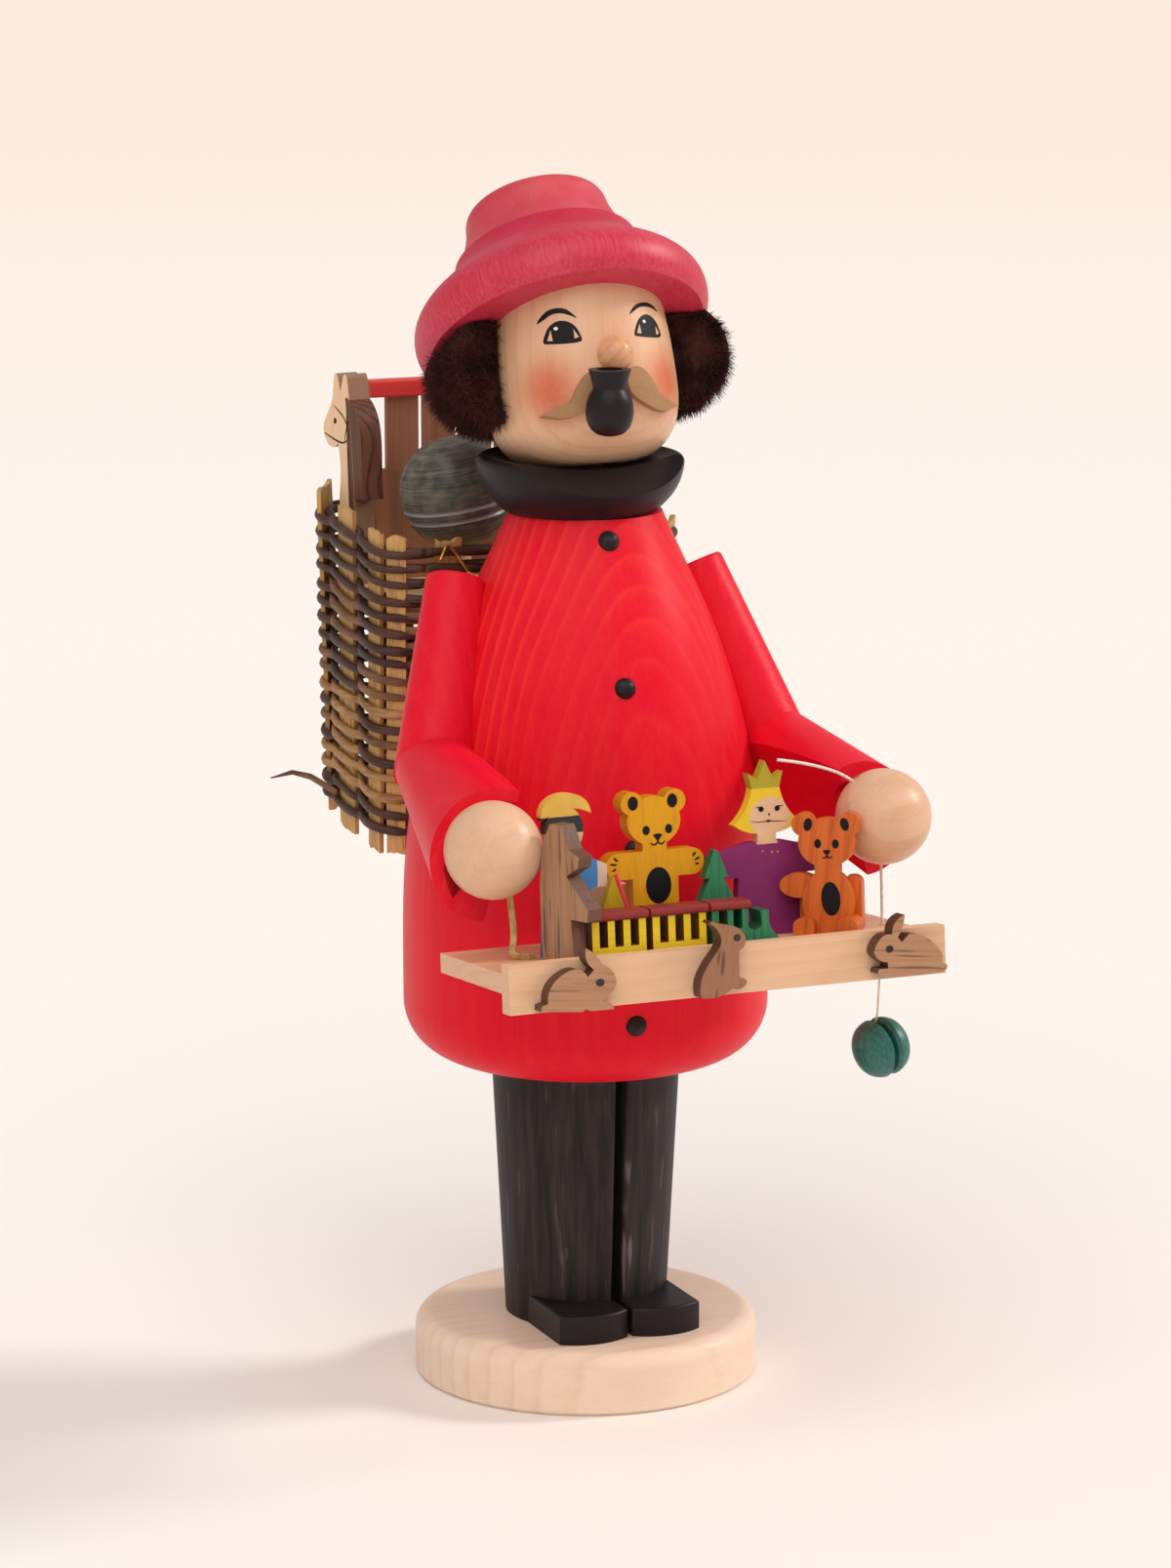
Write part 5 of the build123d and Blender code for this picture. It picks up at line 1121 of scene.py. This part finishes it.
def tube(way, thick, points, faces):
    """A flattened round weaver along its way, closed at both ends."""
    first = len(points)
    for index, spot in enumerate(way):
        ahead = way[min(index + 1, len(way) - 1)] - way[max(index - 1, 0)]
        ahead.normalize()
        up = (Vector((0, 0, 1)) - ahead * ahead.z).normalized()
        side = ahead.cross(up)
        size = thick[index]
        for k in range(SIDES):
            angle = 2 * math.pi * k / SIDES
            points.append(spot + side * math.cos(angle) * WEAVER_DEEP * size
                          + up * math.sin(angle) * WEAVER_TALL * size)
    for index in range(len(way) - 1):
        for k in range(SIDES):
            here, there = first + index * SIDES, first + (index + 1) * SIDES
            faces.append((here + k, here + (k + 1) % SIDES, there + (k + 1) % SIDES, there + k))
    faces.append(tuple(first + k for k in range(SIDES))[::-1])
    faces.append(tuple(first + (len(way) - 1) * SIDES + k for k in range(SIDES)))


weavers = {"dark": ([], []), "mid": ([], []), "tan": ([], [])}
for row in range(ROWS):
    for strand in range(2):
        tone = "dark"
        if row >= TOP_ROWS:
            tone = chance.choice(["dark", "dark", "dark", "dark", "mid"])
        elif row >= FOOT_ROWS:
            tone = chance.choice(["tan", "tan", "tan", "mid", "mid", "dark"])
        swell, knot = chance.uniform(*WEAVER_SWELL), chance.uniform(0, ROUND)
        way = []
        for spot in twist_row(row, strand) + [None]:
            if spot is not None:
                way.append(spot)
                continue
            if len(way) > SHORTEST_RUN:
                thick = [swell * (1 + WEAVER_KNOTS * math.sin(0.31 * k + knot)) for k in range(len(way))]
                tube(way, thick, *weavers[tone])
            way = []
stray = [(-46.4, 66.0, 149.4), (-47.4, 73.0, 150.4), (-49.0, 79.6, 151.6), (-52.6, 84.6, 152.2), (-57.6, 88.6, 150.2)]
tube([Vector(p) for p in stray], [0.8, 0.85, 0.8, 0.6, 0.15], *weavers["mid"])
for tone, finish in (("dark", bark_dark), ("mid", bark_mid), ("tan", bark_tan)):
    points, faces = weavers[tone]
    stands_for = ["basket_wall"] if tone == "dark" else []
    weave = wicker("weavers_" + tone, points, faces, finish, *stands_for)
    weave.data.polygons.foreach_set("use_smooth", [True] * len(faces))

# Toys in the basket: a turned and painted ball with two bright scored rings, a doll's crib with a red rail, and
# a hobby horse with a painted bridle and a dark mane.
ball_paint, ball_shader, ball_spot = new_finish("ball_paint", rough=0.32, coat=0.15)
ball_middle = Vector((-17.0, 50.0, 233.0)) * MM
ball_lean = spin(-10, "Y")
BALL_RADIUS = 15.3
BALL_RINGS = (-5.5, -2.5)
RING_ROOM = 1.2
GROOVE = 0.7
ball_local = ball_spot.moved(-ball_middle)
ball_local = ball_local.node("Mapping", {}, {"Vector": ball_local, "Rotation": ball_lean.inverted().to_euler()})
ball_height = ball_local.node("SeparateXYZ", {}, {0: ball_local}).also(2) * 1000
turning = ball_local.noise((60, 60, 1900), 3.0, 0.6)
ball_mottle = ball_local.noise(240, 4.0, 0.6)
ball_tone = (turning * 0.55 + ball_mottle * 0.45).rise(0.34, 0.68).mix(tint(58, 60, 54), tint(126, 120, 106))
bright = None
for level in BALL_RINGS:
    band = 1 - abs(ball_height - level).rise(0.35, 0.75)
    bright = band if bright is None else bright + band
bright.mix(ball_tone, tint(176, 166, 168)).feed(ball_shader["Base Color"])
(0.25 + ball_mottle * 0.3).feed(ball_shader["Roughness"])
turning.bump(0.25, 0.2).feed(ball_shader["Normal"])
ball_levels = [BALL_RADIUS * math.sin(math.radians(angle)) for angle in range(-84, 85, 4)]
ball_levels = [z for z in ball_levels if all(abs(z - level) > RING_ROOM for level in BALL_RINGS)]
ball_outline = [(math.sqrt(BALL_RADIUS ** 2 - z * z), z) for z in ball_levels]
for level in BALL_RINGS:
    for rise, cut in ((-GROOVE, 0), (0, GROOVE), (GROOVE, 0)):
        ball_outline.append((math.sqrt(BALL_RADIUS ** 2 - (level + rise) ** 2) - cut, level + rise))
ball_outline = [(0, -BALL_RADIUS)] + sorted(ball_outline, key=lambda spot: spot[1]) + [(0, BALL_RADIUS)]
turned("turned_ball", ball_outline, Matrix.Translation(ball_middle) @ ball_lean, ball_paint, "grey_wood", "toy_ball",
       64)

dress(timber("crib_red", tint(214, 66, 62), tint(190, 46, 48), (0, 200, 200), (1, 0, 0), ring=2.8, vein=0.35, fibre=0.4,
             rough=0.42), "crib_rail")
dress(timber("crib_beech", tint(166, 116, 88), tint(122, 78, 58), (0, 200, 0), (0, 0, 1), ring=3.0, vein=0.45,
             fibre=0.5, rough=0.55), "crib_slats")
HORSE_FACE = 3.2
horse_turn = spin(-80, "Z")
horse_facing = horse_turn.to_3x3() @ Vector((0, 1, 0))
horse_wood = fretsawn("horse_wood", tint(244, 206, 168), tint(226, 182, 140), tint(96, 58, 44), horse_facing, (0, 0, 1),
                      (0, 160, 0), ring=3.4, vein=0.3, fleck=0.0, edge_share=0.75, rough=0.5)
dress(horse_wood, "horse_head")
mane_wood = timber("mane_wood", tint(112, 70, 52), tint(66, 38, 30), (-20, 120, 0), (0, 0.1, 1), ring=1.3, swirl=1.2,
                   vein=0.8, fibre=0.7, rough=0.5, bump=0.5)
dress(mane_wood, "horse_mane")
horse_stand = shift(-37.0, 74.0, 230.0) @ horse_turn


def on_horse(along, up, height):
    return horse_stand @ (Vector((along, -HORSE_FACE - height, up)) * MM)


bridle = [oval(-5.4, 20.1, 0.75, 0.85), stroke([(-5.9, 24.2), (-1.2, 21.8), (1.6, 18.6), (1.9, 16.0)], 0.5),
          stroke([(-11.2, 16.2), (-7.6, 15.4), (-3.6, 14.6), (-0.4, 14.7), (1.9, 16.2)], 0.5),
          stroke([(2.2, 21.4), (0.4, 17.8), (-0.4, 14.4)], 0.4)]
film("horse_bridle", bridle, on_horse, black_paint, "black_wood")
burnt_edge = [(0.2, 26.8), (0.6, 24.4), (1.1, 22.0), (0.5, 18.6), (1.5, 19.8), (1.7, 16.6), (1.0, 12.6), (2.0, 14.4),
              (2.1, 10.8), (1.3, 6.4), (2.3, 8.2), (2.4, 3.4), (1.7, -1.0), (2.5, -0.2), (2.4, -8.0), (4.5, -8.0),
              (4.5, 0.0), (2.35, 26.4), (1.2, 27.2)]
film("horse_mane_edge", [burnt_edge], on_horse, mane_wood, "walnut")

# Tie wires: soft brass wire, a little dulled, twisted up where it ties the basket to the coat's back below the
# collar.
dress(mottled("brass", tint(206, 164, 84), tint(150, 108, 48), 800, rough=0.22, vary=0.3, metal=1.0), "tie_wires")

bpy.context.view_layer.update()
